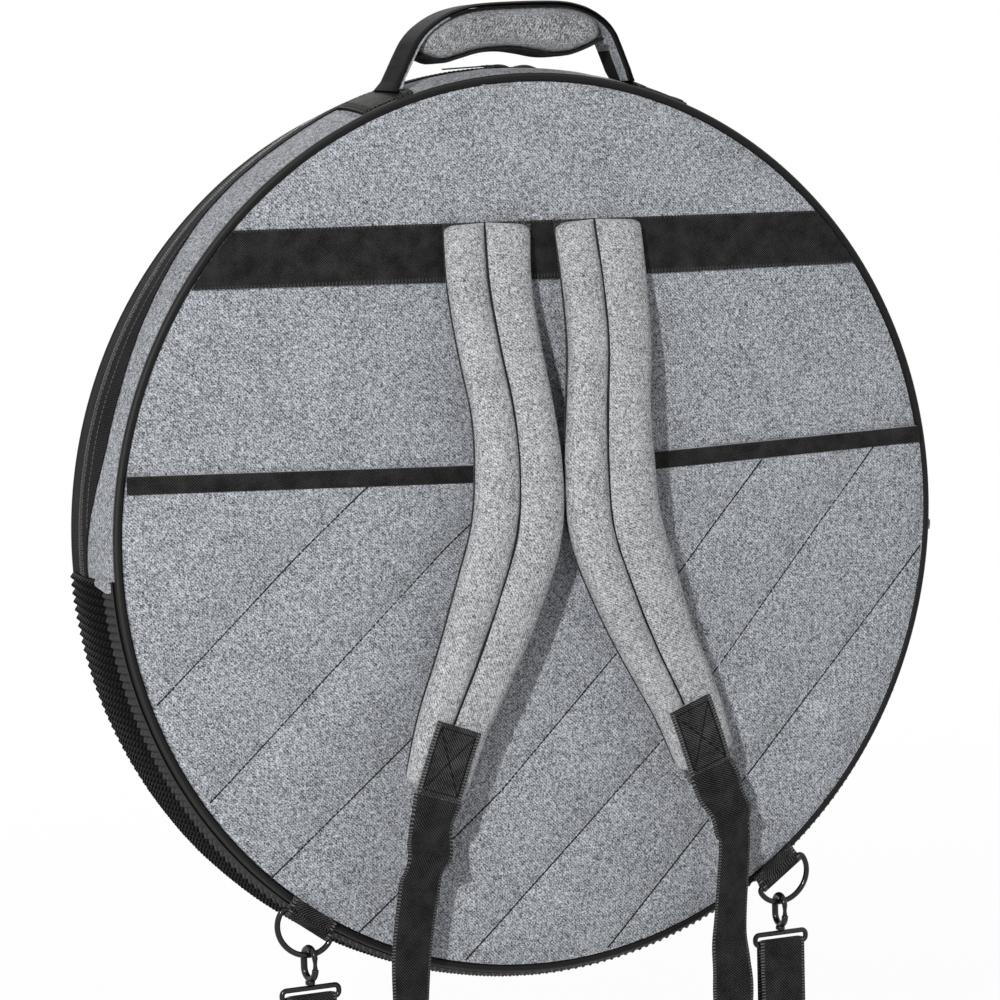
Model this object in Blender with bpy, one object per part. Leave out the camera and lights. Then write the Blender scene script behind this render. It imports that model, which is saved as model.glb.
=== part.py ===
# Cymbal bag: a round soft case with a zipped front flap, a carry handle and two clipped shoulder straps.
# Metres, +Z up. The strap side faces -Y. The origin is under the middle of the handle's grip.

import bpy
import bmesh
from math import acos, atan2, cos, degrees, hypot, pi, radians, sin, sqrt
from mathutils import Matrix, Vector

# Main sizes
SEAM_RADIUS = 0.2945            # where the side wall meets the flat panels
DEPTH = 0.086                   # outer face of the back panel to that of the front
CROWN = 0.005                   # how far the side wall bulges between its seams
WALL_THICK = 0.0040             # at its seams
PANEL_CLEARANCE = 0.0005        # between the flat panels and the side wall's inside
GAP = 0.0003                    # between pieces that touch
RIM_STEP_DEG = 6.0              # one facet of the round outline
RIM_FIRST_DEG = 3.0
ZIP_HALF_DEG = 93.0             # the zipper's ends, measured from the top

# Panel layers
PANEL_CLOTH = 0.0015
FOAM = 0.006
LINING = 0.0008

# Piping round both edges
PIPING_WIRE = 0.0027
PIPING_CLEARANCE = 0.0004       # round the panel's edge
PIPING_SET_IN = 0.0012          # its centre, inside the panel's outer face

# Back webbing band and slip pocket, heights from the disc's centre
BAND_TOP = 0.2004
BAND_WIDTH = 0.036
BAND_THICK = 0.0014
POCKET_TOP = 0.0506
POCKET_THICK = 0.0022
POCKET_TAPE_WIDTH = 0.0114
POCKET_TAPE_THICK = 0.0012

# Zipper
ZIP_SET_BACK = 0.033            # behind the front panel's face
COIL_WIDTH = 0.0030             # one half of the coil
COIL_SPLIT = 0.0004             # between the two halves
COIL_TOP = 0.0012               # above the cloth of the side wall
COIL_DEEP = 0.0020              # below it
FLANGE_THICK = 0.0008
FLANGE_TOP_WIDTH = 0.0070       # of the black flange behind the coil, at the top of the bag
FLANGE_SIDE_WIDTH = 0.0285      # and where it is widest, low on the sides
FLANGE_WIDE_DEG = 76.0
FLANGE_START_DEG = 34.0

# Rubber strip
RUBBER_THICK = 0.0027

# Zipper sliders and pulls
SLIDER_LENGTH = 0.0125
SLIDER_WIDTH = 0.009
SLIDER_PLATE = 0.0007           # its thickness at the ends
SLIDER_HIGH = 0.0020            # and in the middle of its arched cap
SLIDER_LIFT = 0.0005            # running clearance over the coil
SLIDER_LEFT_DEG = -0.1
SLIDER_RIGHT_DEG = 3.7
SLIDER_CAP_SHARES = ((-1.0, 0.0), (-0.85, 0.35), (-0.6, 0.68), (-0.3, 0.92), (0.0, 1.0), (0.3, 0.92),
                     (0.6, 0.68), (0.85, 0.35), (1.0, 0.0))
PRONG_THICK = 0.0012            # the two prongs that hold the pull
PRONG_HIGH = 0.0016
PRONG_START = 0.0008
PRONG_BEYOND = 0.0014           # past the pull's axis
KNUCKLE_RADIUS = 0.0009
KNUCKLE_OUT = 0.0084            # the pull's axis, from the slider's middle
KNUCKLE_LIFT = 0.0009           # and over its underside
PULL_LENGTH = 0.031
PULL_WIDTH = 0.0054
PULL_THICK = 0.0010
PULL_LEFT_TURN_DEG = 0.0        # the left pull lies along the coil
PULL_RIGHT_TURN_DEG = -125.0    # the right one lies over the flap's wall
PULL_LEFT_DROOP_DEG = 3.0
PULL_RIGHT_DROOP_DEG = 8.0
PULL_HOLE_LENGTH = 0.0080
PULL_RIM = 0.0012

# Carry handle, on the back strip of the side wall
HANDLE_TILT_DEG = -1.6          # it sits a little left of the top
HANDLE_LEAN = 0.0050            # and its top leans back to the right
HANDLE_SET_IN = 0.022           # its middle, in front of the back panel's face
HANDLE_WEB_WIDTH = 0.033
HANDLE_HALF_WIDTH = 0.0835      # from its middle to either foot
HANDLE_RISE = 0.0465            # its webbing's middle line above the seam
HANDLE_FOOT_GAP = 0.0019
HANDLE_RUN_DEG = (18.4, 17.0)   # the legs lie on their feet between these, and then bend upwards
HANDLE_BEND_TOP = 0.0060        # above the feet
HANDLE_BEND_HEIGHT = 0.0075
HANDLE_ROOT = 0.0155            # the legs bend below this height over the feet
HANDLE_SHAPE_SHARES = ((1.0246, -0.008), (1.0024, 0.040), (0.989, 0.080), (0.941, 0.248), (0.889, 0.428),
                       (0.841, 0.575), (0.765, 0.715), (0.647, 0.847), (0.510, 0.937), (0.327, 0.988),
                       (0.0, 1.0))
WEB_THICK = 0.0024
HANDLE_LINING = 0.0018
PATCH_LENGTH = 0.038
PATCH_WIDTH = 0.038
PATCH_THICK = 0.0018
PATCH_LEFT_BEYOND = 0.0108      # middles of the two sewn feet, outside the legs
PATCH_RIGHT_BEYOND = 0.0225
GRIP_HALF_LENGTH = 0.065
GRIP_WIDTH = 0.033
GRIP_RISE_MIDDLE = 0.0182       # its underside above the seam, in the middle
GRIP_RISE_LOW = 0.0119          # and where it is lowest, near its left end
GRIP_BINDING = 0.0014
GRIP_SECTION_SHARES = ((-0.78, 1.0), (0.78, 1.0), (1.0, 0.82), (1.0, 0.14), (0.86, 0.0), (-0.86, 0.0),
                       (-1.0, 0.14), (-1.0, 0.82))
GRIP_UNDER_SHARES = (0.16, 1.0, 0.63, 0.16, 0.0, 0.0, 0.33, 0.75, 0.76, 0.21, -0.62)

# Shoulder pads, as shares of the drop, spread, stand-off, width and thickness
PAD_TOP = BAND_TOP
PAD_DROP = 0.355
PAD_SPREAD = 0.0985
PAD_STAND_OFF = 0.043
PAD_WIDTH = 0.065
PAD_THICK = 0.016
PAD_SHARES = ((0.000, 0.400, 0.280, 0.920, 0.50), (0.113, 0.414, 0.510, 0.890, 0.85),
              (0.225, 0.394, 0.770, 0.877, 1.00), (0.338, 0.343, 0.930, 0.877, 1.00),
              (0.451, 0.323, 1.000, 0.946, 1.00), (0.563, 0.352, 1.000, 0.985, 1.00),
              (0.676, 0.487, 0.985, 0.954, 1.00), (0.789, 0.652, 0.970, 0.862, 1.00),
              (0.901, 0.843, 0.955, 0.770, 0.85), (1.000, 0.970, 0.930, 0.700, 0.60))
PAD_STEPS_PER_SPAN = 2
PAD_SECTION_SHARES = ((-1.0, 0.25), (-0.93, 0.62), (-0.72, 0.92), (-0.45, 1.0), (-0.14, 0.90), (0.0, 0.68),
                      (0.14, 0.90), (0.45, 1.0), (0.72, 0.92), (0.93, 0.62), (1.0, 0.25), (0.94, 0.0),
                      (-0.94, 0.0))
BACKING_THICK = 0.0016
BACKING_WIDTH_SHARE = 0.96
SEAM_PIPING = 0.0011
SEAM_LIFT = 0.0008              # over the bottom of the pad's centre groove
PAD_AXIS_RISE = 0.0006

# Strap webbing, from the pad's tab to the hook
STRAP_WIDTH = 0.034
STRAP_THICK = 0.0015
TAB_WIDTH = 0.032
TAB_THICK = 0.0018
TAB_START_SHARE = 0.905
TAB_BEYOND_PAD = 0.010
STRAP_HANG = 0.1805             # the loop's lowest point, below the seam
STRAP_LEFT_SHARES = ((0.053, 0.023, 0.045, 0.10), (0.072, 0.052, 0.096, 0.10), (0.153, 0.095, 0.168, 0.15),
                     (0.208, 0.135, 0.244, 0.17), (0.244, 0.178, 0.325, 0.20), (0.252, 0.221, 0.415, 0.26),
                     (0.247, 0.272, 0.518, 0.34), (0.247, 0.315, 0.662, 0.48), (0.292, 0.372, 0.839, 0.68),
                     (0.441, 0.516, 0.961, 0.88), (0.629, 0.659, 1.000, 1.05), (0.843, 0.845, 0.949, 1.30),
                     (0.972, 0.960, 0.850, 1.70), (1.000, 1.000, 0.760, 2.00))
STRAP_RIGHT_SHARES = ((0.132, 0.040, 0.062, 0.02), (0.254, 0.077, 0.137, 0.24), (0.259, 0.103, 0.180, 0.26),
                      (0.241, 0.138, 0.251, 0.25), (0.222, 0.172, 0.322, 0.24), (0.212, 0.206, 0.383, 0.20),
                      (0.239, 0.238, 0.439, 0.15), (0.260, 0.272, 0.513, 0.10), (0.257, 0.315, 0.662, 0.34),
                      (0.286, 0.372, 0.839, 0.64), (0.413, 0.516, 0.961, 0.88), (0.598, 0.659, 1.000, 1.05),
                      (0.832, 0.845, 0.949, 1.30), (0.967, 0.960, 0.850, 1.70), (1.000, 1.000, 0.760, 2.00))
STRAP_STEPS_PER_SPAN = 4
STRAP_STIFF_END = 0.003         # leaves the tab straight

# D-rings on the lower rim
RING_LEFT_DOWN_DEG = 36.0       # from the lowest point of the rim
RING_RIGHT_DOWN_DEG = 34.4
RING_WIRE = 0.0019
RING_HALF_WIDTH = 0.0198
RING_REACH = 0.0205
RING_CORNER = 0.003
RING_BEHIND = 0.0045            # its plane behind the back panel's face
RING_TAB_WIDTH = 0.0345
RING_TAB_THICK = 0.0015
RING_TAB_NECK = 0.0030
RING_TAB_REACH = 0.0102         # from its foot to the ring's bar
RING_ARC_STEPS = 14

# Snap hooks, eyes and adjusters
HOOK_WIRE = 0.00225
HOOK_ARC = 0.00675
HOOK_STRAIGHT = 0.0065
HOOK_LEFT_TURN_DEG = -10.0      # the left hook hangs turned on its swivel
GATE_WIRE = 0.0016
GATE_TOP_GAP = 0.0005
GATE_FOOT_GAP = 0.0009
BARREL_RADIUS = 0.0032
BARREL_HEIGHT = 0.0032
EYE_WIRE = 0.00175
EYE_HALF_WIDTH = 0.0196
EYE_HALF_HEIGHT = 0.0036
EYE_CORNER = 0.0030
HOOK_WEB_FRONT_LENGTH = 0.0803  # lower ends of the two layers, below the eye's bar
HOOK_WEB_TAIL_LENGTH = 0.0980
ADJUSTER_DROP = 0.0600          # its middle, below the eye's bar
ADJUSTER_HALF_TALL = 0.013
ADJUSTER_BAR = 0.004
ADJUSTER_BAR_THICK = 0.0022
ADJUSTER_SIDE_GAP = 0.0004
ADJUSTER_RAIL = 0.0032

# Hinge of the flap
FLAP_AXIS_MARGIN = 0.0006

# Sizes that follow
WALL_INSIDE_RADIUS = SEAM_RADIUS - WALL_THICK
PANEL_RADIUS = WALL_INSIDE_RADIUS - PANEL_CLEARANCE
PIPING_RADIUS = PANEL_RADIUS + PIPING_CLEARANCE + PIPING_WIRE
BACK_Y = -0.5 * DEPTH
FRONT_Y = 0.5 * DEPTH
HANDLE_Y = BACK_Y + HANDLE_SET_IN
HANDLE_TOP = SEAM_RADIUS + HANDLE_RISE
GRIP_UNDER_MIDDLE = SEAM_RADIUS + GRIP_RISE_MIDDLE
GRIP_UNDER_LOW = SEAM_RADIUS + GRIP_RISE_LOW
RING_TAB_FOOT = PANEL_RADIUS + GAP
RING_BAR_RADIUS = RING_TAB_FOOT + RING_TAB_REACH
RING_Y = BACK_Y - RING_BEHIND
STRAP_BOTTOM = -SEAM_RADIUS - STRAP_HANG
PIPING_Y = FRONT_Y - PIPING_SET_IN
WALL_EDGE_Y = PIPING_Y - PIPING_WIRE - GAP
ZIP_Y = FRONT_Y - ZIP_SET_BACK
COIL_BACK_Y = ZIP_Y - 0.5 * COIL_SPLIT - COIL_WIDTH
COIL_FRONT_Y = ZIP_Y + 0.5 * COIL_SPLIT + COIL_WIDTH
FLANGE_FRONT_Y = COIL_BACK_Y - GAP
TRIM_DEG = degrees(GAP / SEAM_RADIUS)
FLAP_AXIS_Z = (SEAM_RADIUS + CROWN) * cos(radians(ZIP_HALF_DEG))
FLAP_AXIS_Y = PIPING_Y + PIPING_WIRE + FLAP_AXIS_MARGIN


def wall_radius(y):
    """The side wall's outer radius at a depth y."""
    return SEAM_RADIUS + CROWN * (1.0 - (y / FRONT_Y) ** 2)


HANDLE_AXIS_Z = sqrt((wall_radius(HANDLE_Y) + PATCH_THICK + GAP) ** 2 - HANDLE_HALF_WIDTH ** 2)
ORIGIN = Matrix.Rotation(radians(HANDLE_TILT_DEG), 4, "Y") @ Vector(
    (0.0, HANDLE_Y, GRIP_UNDER_MIDDLE - GAP - GRIP_BINDING))


# Basic helpers

for leftover in list(bpy.data.objects):
    bpy.data.objects.remove(leftover, do_unlink=True)


def make_material(name, colour, roughness, metallic=0.0):
    """A plain Principled material."""
    material = bpy.data.materials.new(name)
    material.use_nodes = True
    shader = material.node_tree.nodes["Principled BSDF"]
    shader.inputs["Base Color"].default_value = (*colour, 1.0)
    shader.inputs["Roughness"].default_value = roughness
    shader.inputs["Metallic"].default_value = metallic
    material.diffuse_color = (*colour, 1.0)
    return material


HEATHER = make_material("heather_cloth", (0.27, 0.29, 0.32), 0.9)
PAD_CLOTH = make_material("pad_cloth", (0.33, 0.345, 0.36), 0.9)
BLACK_WEB = make_material("black_webbing", (0.012, 0.012, 0.013), 0.75)
BLACK_CLOTH = make_material("black_cloth", (0.02, 0.02, 0.021), 0.85)
BLACK_CORD = make_material("black_piping", (0.012, 0.012, 0.013), 0.5)
FOAM_BOARD = make_material("foam_board", (0.05, 0.05, 0.055), 0.95)
LINING_CLOTH = make_material("lining_cloth", (0.03, 0.03, 0.035), 0.7)
RUBBER = make_material("black_rubber", (0.01, 0.01, 0.01), 0.45)
COIL = make_material("nylon_coil", (0.012, 0.012, 0.012), 0.35)
BLACK_METAL = make_material("black_metal", (0.02, 0.02, 0.02), 0.25, 1.0)


def make_pivot(name, place, parent=None):
    """An empty at a place of the bag, for the pieces that turn about it."""
    pivot = bpy.data.objects.new(name, None)
    bpy.context.scene.collection.objects.link(pivot)
    pivot.parent = parent
    pivot.location = Vector(place) - Vector(parent["place"] if parent else place)
    pivot["place"] = tuple(place)
    return pivot


def add_object(name, data, material, pivot):
    """Link data made in the bag's own coordinates, with its origin on the pivot."""
    data.materials.append(material)
    data.transform(Matrix.Translation(-Vector(pivot["place"])))
    piece = bpy.data.objects.new(name, data)
    bpy.context.scene.collection.objects.link(piece)
    piece.parent = pivot
    return piece


def finish_mesh(name, tool, material, pivot, smooth_deg=40.0):
    """Turn a bmesh into a linked object with its faces pointing out."""
    bmesh.ops.recalc_face_normals(tool, faces=tool.faces)
    mesh = bpy.data.meshes.new(name)
    tool.to_mesh(mesh)
    tool.free()
    mesh.shade_smooth()
    mesh.set_sharp_from_angle(angle=radians(smooth_deg))
    return add_object(name, mesh, material, pivot)


def loft(name, rings, material, pivot):
    """A closed skin through rings of points, capped at both ends."""
    tool = bmesh.new()
    rows = [[tool.verts.new(point) for point in ring] for ring in rings]
    for row, following in zip(rows, rows[1:]):
        for i in range(len(row)):
            j = (i + 1) % len(row)
            tool.faces.new((row[i], row[j], following[j], following[i]))
    tool.faces.new(rows[0])
    tool.faces.new(rows[-1])
    return finish_mesh(name, tool, material, pivot)


def tube(name, points, radius, material, pivot, closed=False, resolution=1):
    """A round cord or wire through the points."""
    curve = bpy.data.curves.new(name, "CURVE")
    curve.dimensions = "3D"
    curve.bevel_depth = radius
    curve.bevel_resolution = resolution
    curve.use_fill_caps = not closed
    spline = curve.splines.new("POLY")
    spline.points.add(len(points) - 1)
    for spot, point in zip(spline.points, points):
        spot.co = (*point, 1.0)
    spline.use_cyclic_u = closed
    return add_object(name, curve, material, pivot)


def box_mesh(low, high):
    """A box between two corners."""
    tool = bmesh.new()
    size = Vector(high) - Vector(low)
    centre = (Vector(high) + Vector(low)) * 0.5
    place = Matrix.Translation(centre) @ Matrix.Diagonal((*size, 1.0))
    bmesh.ops.create_cube(tool, size=1.0, matrix=place)
    return tool


def join_onto(base, name, tool, turn, pivot):
    """Fuse a bmesh, turned into place, onto a base object."""
    bmesh.ops.transform(tool, matrix=turn, verts=tool.verts)
    helper = finish_mesh(name, tool, BLACK_METAL, pivot)
    helper.hide_render = True
    helper.display_type = "WIRE"
    union = base.modifiers.new(name, "BOOLEAN")
    union.operation = "UNION"
    union.solver = "EXACT"
    union.object = helper


def smooth_points(points, steps):
    """A smooth curve through rows of numbers, with so many steps for each span."""
    rows = [Vector(point) for point in points]
    padded = [rows[0] * 2.0 - rows[1], *rows, rows[-1] * 2.0 - rows[-2]]
    result = []
    for before, start, end, after in zip(padded, padded[1:], padded[2:], padded[3:]):
        for step in range(steps):
            t = step / steps
            result.append(0.5 * (2.0 * start + (end - before) * t
                                 + (2.0 * before - 5.0 * start + 4.0 * end - after) * t ** 2
                                 + (3.0 * start - before - 3.0 * end + after) * t ** 3))
    return result + [rows[-1]]


def tangents(points):
    """Unit directions along a list of points."""
    ends = zip([points[0], *points[:-1]], [*points[1:], points[-1]])
    return [(after - before).normalized() for before, after in ends]


def ribbon(name, centres, sideways, width, thickness, material, pivot):
    """Flat webbing along a list of centres, with its width along the sideways directions."""
    rings = []
    for centre, along, side in zip(centres, tangents(centres), sideways):
        side = (side - along * side.dot(along)).normalized()
        out = side.cross(along)
        corners = ((1, 1), (-1, 1), (-1, -1), (1, -1))
        rings.append([centre + side * (0.5 * width * a) + out * (0.5 * thickness * b) for a, b in corners])
    return loft(name, rings, material, pivot)


# Round outline helpers

def rim_point(radius, angle_deg, y):
    """A point on the rim, with the angle measured from the top towards +X."""
    angle = radians(angle_deg)
    return Vector((radius * sin(angle), y, radius * cos(angle)))


def rim_angles(start_deg, end_deg):
    """The two ends, and the facet corners between them."""
    corners = []
    corner = RIM_FIRST_DEG - 360.0
    while corner < end_deg - TRIM_DEG * 2.0:
        if corner > start_deg + TRIM_DEG * 2.0:
            corners.append(corner)
        corner += RIM_STEP_DEG
    return [start_deg, *corners, end_deg]


UPPER_ARC = rim_angles(TRIM_DEG - ZIP_HALF_DEG, ZIP_HALF_DEG - TRIM_DEG)
LOWER_ARC = rim_angles(ZIP_HALF_DEG + TRIM_DEG, 360.0 - ZIP_HALF_DEG - TRIM_DEG)
FULL_RIM = rim_angles(RIM_FIRST_DEG, 360.0 + RIM_FIRST_DEG)[:-1]


def rim_band(name, profile, angles, material, pivot):
    """A strip of wall: a profile of radius and depth, carried round the rim."""
    rings = [[rim_point(radius, angle, y) for radius, y in profile] for angle in angles]
    return loft(name, rings, material, pivot)


def rim_plate(name, radius, y_from, y_to, angles, material, pivot):
    """A flat plate whose outline is the rim between the given angles."""
    rings = [[rim_point(radius, angle, y) for angle in angles] for y in (y_from, y_to)]
    return loft(name, rings, material, pivot)


def rim_slice(name, radius, y_from, y_to, low, high, material, pivot):
    """A flat plate cut from the round outline between two heights."""
    tool = bmesh.new()
    rows = [[tool.verts.new(rim_point(radius, angle, y)) for angle in FULL_RIM] for y in (y_from, y_to)]
    for i in range(len(FULL_RIM)):
        j = (i + 1) % len(FULL_RIM)
        tool.faces.new((rows[0][i], rows[0][j], rows[1][j], rows[1][i]))
    tool.faces.new(rows[0])
    tool.faces.new(rows[1])
    for height, way in ((low, -1.0), (high, 1.0)):
        if abs(height) < radius:
            everything = tool.verts[:] + tool.edges[:] + tool.faces[:]
            bmesh.ops.bisect_plane(tool, geom=everything, plane_co=(0, 0, height), plane_no=(0, 0, way),
                                   clear_outer=True)
            bmesh.ops.holes_fill(tool, edges=[edge for edge in tool.edges if edge.is_boundary])
    return finish_mesh(name, tool, material, pivot)


def wall_profile(y_from, y_to, steps):
    """The side wall's crowned outside and flat inside, from one depth to another."""
    depths = [y_from + (y_to - y_from) * i / steps for i in range(steps + 1)]
    outside = [(wall_radius(y), y) for y in depths]
    return outside + [(WALL_INSIDE_RADIUS, y_to), (WALL_INSIDE_RADIUS, y_from)]


def skin_profile(y_from, y_to, steps, lift, thickness):
    """A layer that lies on the side wall."""
    depths = [y_from + (y_to - y_from) * i / steps for i in range(steps + 1)]
    inside = [(wall_radius(y) + lift, y) for y in depths]
    outside = [(wall_radius(y) + lift + thickness, y) for y in reversed(depths)]
    return inside + outside


# The fixed shell: back, side wall, bottom and lower front

def make_back(shell):
    """Back panel, foam and lining, the webbing band and the slip pocket."""
    inner = BACK_Y + PANEL_CLOTH
    rim_plate("back_panel", PANEL_RADIUS, BACK_Y, inner, FULL_RIM, HEATHER, shell)
    rim_plate("back_foam", PANEL_RADIUS, inner + GAP, inner + GAP + FOAM, FULL_RIM, FOAM_BOARD, shell)
    inner += FOAM + 2.0 * GAP
    rim_plate("back_lining", PANEL_RADIUS, inner, inner + LINING, FULL_RIM, LINING_CLOTH, shell)
    face = BACK_Y - GAP
    rim_slice("back_webbing_band", PANEL_RADIUS, face - BAND_THICK, face, BAND_TOP - BAND_WIDTH, BAND_TOP,
              BLACK_WEB, shell)
    rim_slice("pocket_panel", PANEL_RADIUS, face - POCKET_THICK, face, -SEAM_RADIUS, POCKET_TOP,
              HEATHER, shell)
    tape = face - POCKET_THICK - GAP
    rim_slice("pocket_binding", PANEL_RADIUS, tape - POCKET_TAPE_THICK, tape, POCKET_TOP - POCKET_TAPE_WIDTH,
              POCKET_TOP, BLACK_WEB, shell)
    ring = [rim_point(PIPING_RADIUS, angle, -PIPING_Y) for angle in FULL_RIM]
    tube("back_piping", ring, PIPING_WIRE, BLACK_CORD, shell, closed=True)


def flange_edge(angle_deg):
    """Back edge of the black flange: widest low on the sides, and narrow again at the zipper's ends."""
    angle = abs(angle_deg)
    if angle <= FLANGE_START_DEG:
        share = 0.0
    elif angle <= FLANGE_WIDE_DEG:
        share = (angle - FLANGE_START_DEG) / (FLANGE_WIDE_DEG - FLANGE_START_DEG)
    else:
        share = max(0.0, 1.0 - (angle - FLANGE_WIDE_DEG) / (ZIP_HALF_DEG - FLANGE_WIDE_DEG))
    share = share * share * (3.0 - 2.0 * share)
    return FLANGE_FRONT_Y - FLANGE_TOP_WIDTH - (FLANGE_SIDE_WIDTH - FLANGE_TOP_WIDTH) * share


def coil_profile(y_from, y_to):
    """One half of the zipper's coil, standing through the side wall."""
    radius = wall_radius(ZIP_Y)
    low = radius - COIL_DEEP
    high = radius + COIL_TOP
    return [(low, y_from), (high, y_from), (high, y_to), (low, y_to)]


def make_walls(shell):
    """The side wall behind the zipper, the bottom wall and its rubber strip."""
    edge = FLANGE_FRONT_Y
    rim_band("wall_back_strip", wall_profile(-WALL_EDGE_Y, edge, 3), UPPER_ARC, HEATHER, shell)
    rings = [[rim_point(radius, angle, y) for radius, y in
              skin_profile(flange_edge(angle), edge, 2, GAP, FLANGE_THICK)] for angle in UPPER_ARC]
    loft("zip_flange", rings, BLACK_CLOTH, shell)
    rim_band("zip_coil_back", coil_profile(COIL_BACK_Y, ZIP_Y - 0.5 * COIL_SPLIT), UPPER_ARC, COIL, shell)
    rim_band("wall_bottom", wall_profile(-WALL_EDGE_Y, WALL_EDGE_Y, 4), LOWER_ARC, BLACK_CLOTH, shell)
    rim_band("rubber_base", skin_profile(-WALL_EDGE_Y, WALL_EDGE_Y, 4, GAP, RUBBER_THICK), LOWER_ARC,
             RUBBER, shell)


def make_front(names, angles, pivot):
    """Cloth, foam, lining and piping of one part of the front."""
    cloth, foam, lining, piping = names
    inner = FRONT_Y - PANEL_CLOTH
    rim_plate(cloth, PANEL_RADIUS, inner, FRONT_Y, angles, HEATHER, pivot)
    rim_plate(foam, PANEL_RADIUS, inner - GAP - FOAM, inner - GAP, angles, FOAM_BOARD, pivot)
    inner -= FOAM + 2.0 * GAP
    rim_plate(lining, PANEL_RADIUS, inner - LINING, inner, angles, LINING_CLOTH, pivot)
    arc = [rim_point(PIPING_RADIUS, angle, PIPING_Y) for angle in angles]
    tube(piping, arc, PIPING_WIRE, BLACK_CORD, pivot)


def make_flap(flap):
    """The front flap, with the side wall in front of the zipper."""
    make_front(("flap_panel", "flap_foam", "flap_lining", "flap_piping"), UPPER_ARC, flap)
    rim_band("flap_wall", wall_profile(COIL_FRONT_Y + GAP, WALL_EDGE_Y, 3), UPPER_ARC, BLACK_CLOTH, flap)
    rim_band("zip_coil_front", coil_profile(ZIP_Y + 0.5 * COIL_SPLIT, COIL_FRONT_Y), UPPER_ARC, COIL, flap)


# Zipper sliders

def slider_frame(angle_deg, radius):
    """A frame on the rim: X along it, Y through the bag, Z outwards."""
    return Matrix.Rotation(radians(angle_deg), 4, "Y") @ Matrix.Translation((0.0, ZIP_Y, radius))


SLIDER_FACE = wall_radius(ZIP_Y) + COIL_TOP + SLIDER_LIFT


def knuckle_frame(angle_deg, turn_deg):
    """The pull's axis beside its slider: X points back at the slider, Y is the axis."""
    return (slider_frame(angle_deg, SLIDER_FACE) @ Matrix.Rotation(radians(turn_deg), 4, "Z")
            @ Matrix.Translation((-KNUCKLE_OUT, 0.0, KNUCKLE_LIFT)))


def make_slider(name, angle_deg, turn_deg, spin):
    """The slider's arched body over the coil, and two prongs for the pull."""
    frame = slider_frame(angle_deg, SLIDER_FACE)
    half = 0.5 * SLIDER_WIDTH
    rings = []
    for along, share in SLIDER_CAP_SHARES:
        x = 0.5 * SLIDER_LENGTH * along
        low = SLIDER_PLATE
        high = low + GAP + (SLIDER_HIGH - low - GAP) * share
        section = ((-half, 0.0), (half, 0.0), (half, low), (0.62 * half, low), (0.4 * half, high),
                   (-0.4 * half, high), (-0.62 * half, low), (-half, low))
        rings.append([frame @ Vector((x, y, z)) for y, z in section])
    base = loft(name, rings, BLACK_METAL, spin)
    turned = frame @ Matrix.Rotation(radians(turn_deg), 4, "Z")
    inside = 0.5 * PULL_WIDTH + GAP
    for way in (-1.0, 1.0):
        outside = inside + PRONG_THICK
        low = (-KNUCKLE_OUT - PRONG_BEYOND, min(way * inside, way * outside), 0.5 * SLIDER_PLATE)
        high = (-PRONG_START, max(way * inside, way * outside), PRONG_HIGH)
        join_onto(base, name + "_prong", box_mesh(low, high), turned, spin)


def pull_outline():
    """The pull's outline from above: a narrow neck, and a wider end with a hole."""
    half = 0.5 * PULL_WIDTH
    neck = half * 0.62
    return [(0.0, -half), (-2.0 * KNUCKLE_RADIUS, -neck), (-0.5 * PULL_LENGTH, -neck),
            (-0.62 * PULL_LENGTH, -half), (half - PULL_LENGTH, -half), (-PULL_LENGTH, -0.5 * half),
            (-PULL_LENGTH, 0.5 * half), (half - PULL_LENGTH, half), (-0.62 * PULL_LENGTH, half),
            (-0.5 * PULL_LENGTH, neck), (-2.0 * KNUCKLE_RADIUS, neck), (0.0, half)]


def make_pull(name, angle_deg, turn_deg, droop_deg, flip):
    """A flat metal pull that lies back from its knuckle."""
    frame = knuckle_frame(angle_deg, turn_deg) @ Matrix.Rotation(-radians(droop_deg), 4, "Y")
    rings = [[frame @ Vector((x, y, z)) for x, y in pull_outline()]
             for z in (-0.5 * PULL_THICK, 0.5 * PULL_THICK)]
    base = loft(name, rings, BLACK_METAL, flip)
    knuckle = bmesh.new()
    bmesh.ops.create_cone(knuckle, cap_ends=True, segments=10, radius1=KNUCKLE_RADIUS,
                          radius2=KNUCKLE_RADIUS, depth=PULL_WIDTH,
                          matrix=Matrix.Rotation(radians(90.0), 4, "X"))
    join_onto(base, name + "_knuckle", knuckle, frame, flip)
    hole = box_mesh((PULL_RIM - PULL_LENGTH, PULL_RIM - 0.5 * PULL_WIDTH, -PULL_THICK),
                    (PULL_RIM - PULL_LENGTH + PULL_HOLE_LENGTH, 0.5 * PULL_WIDTH - PULL_RIM, PULL_THICK))
    join_onto(base, name + "_hole", hole, frame, flip)
    base.modifiers[name + "_hole"].operation = "DIFFERENCE"


# Carry handle

HANDLE_TURN = Matrix.Rotation(radians(HANDLE_TILT_DEG), 4, "Y")


def handle_arch():
    """Middle line of the handle's webbing, from one foot, over the grip, to the other."""
    foot = HANDLE_AXIS_Z + HANDLE_FOOT_GAP
    rise = HANDLE_TOP - foot
    radius = wall_radius(HANDLE_Y) + PATCH_THICK + 2.0 * GAP + 0.5 * WEB_THICK
    legs = []
    for side in (-1.0, 1.0):
        leg = [rim_point(radius, side * angle, HANDLE_Y) for angle in HANDLE_RUN_DEG]
        leg += [Vector((side * HANDLE_HALF_WIDTH * x + HANDLE_LEAN * z, HANDLE_Y, foot + rise * z))
                for x, z in HANDLE_SHAPE_SHARES]
        legs.append(leg)
    return smooth_points(legs[0] + legs[1][-2::-1], 2)


def offset_path(points, distance):
    """The same path, moved towards its inside."""
    moved = []
    for point, along in zip(points, tangents(points)):
        moved.append(point + Vector((along.z, 0.0, -along.x)) * distance)
    return moved


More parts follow.
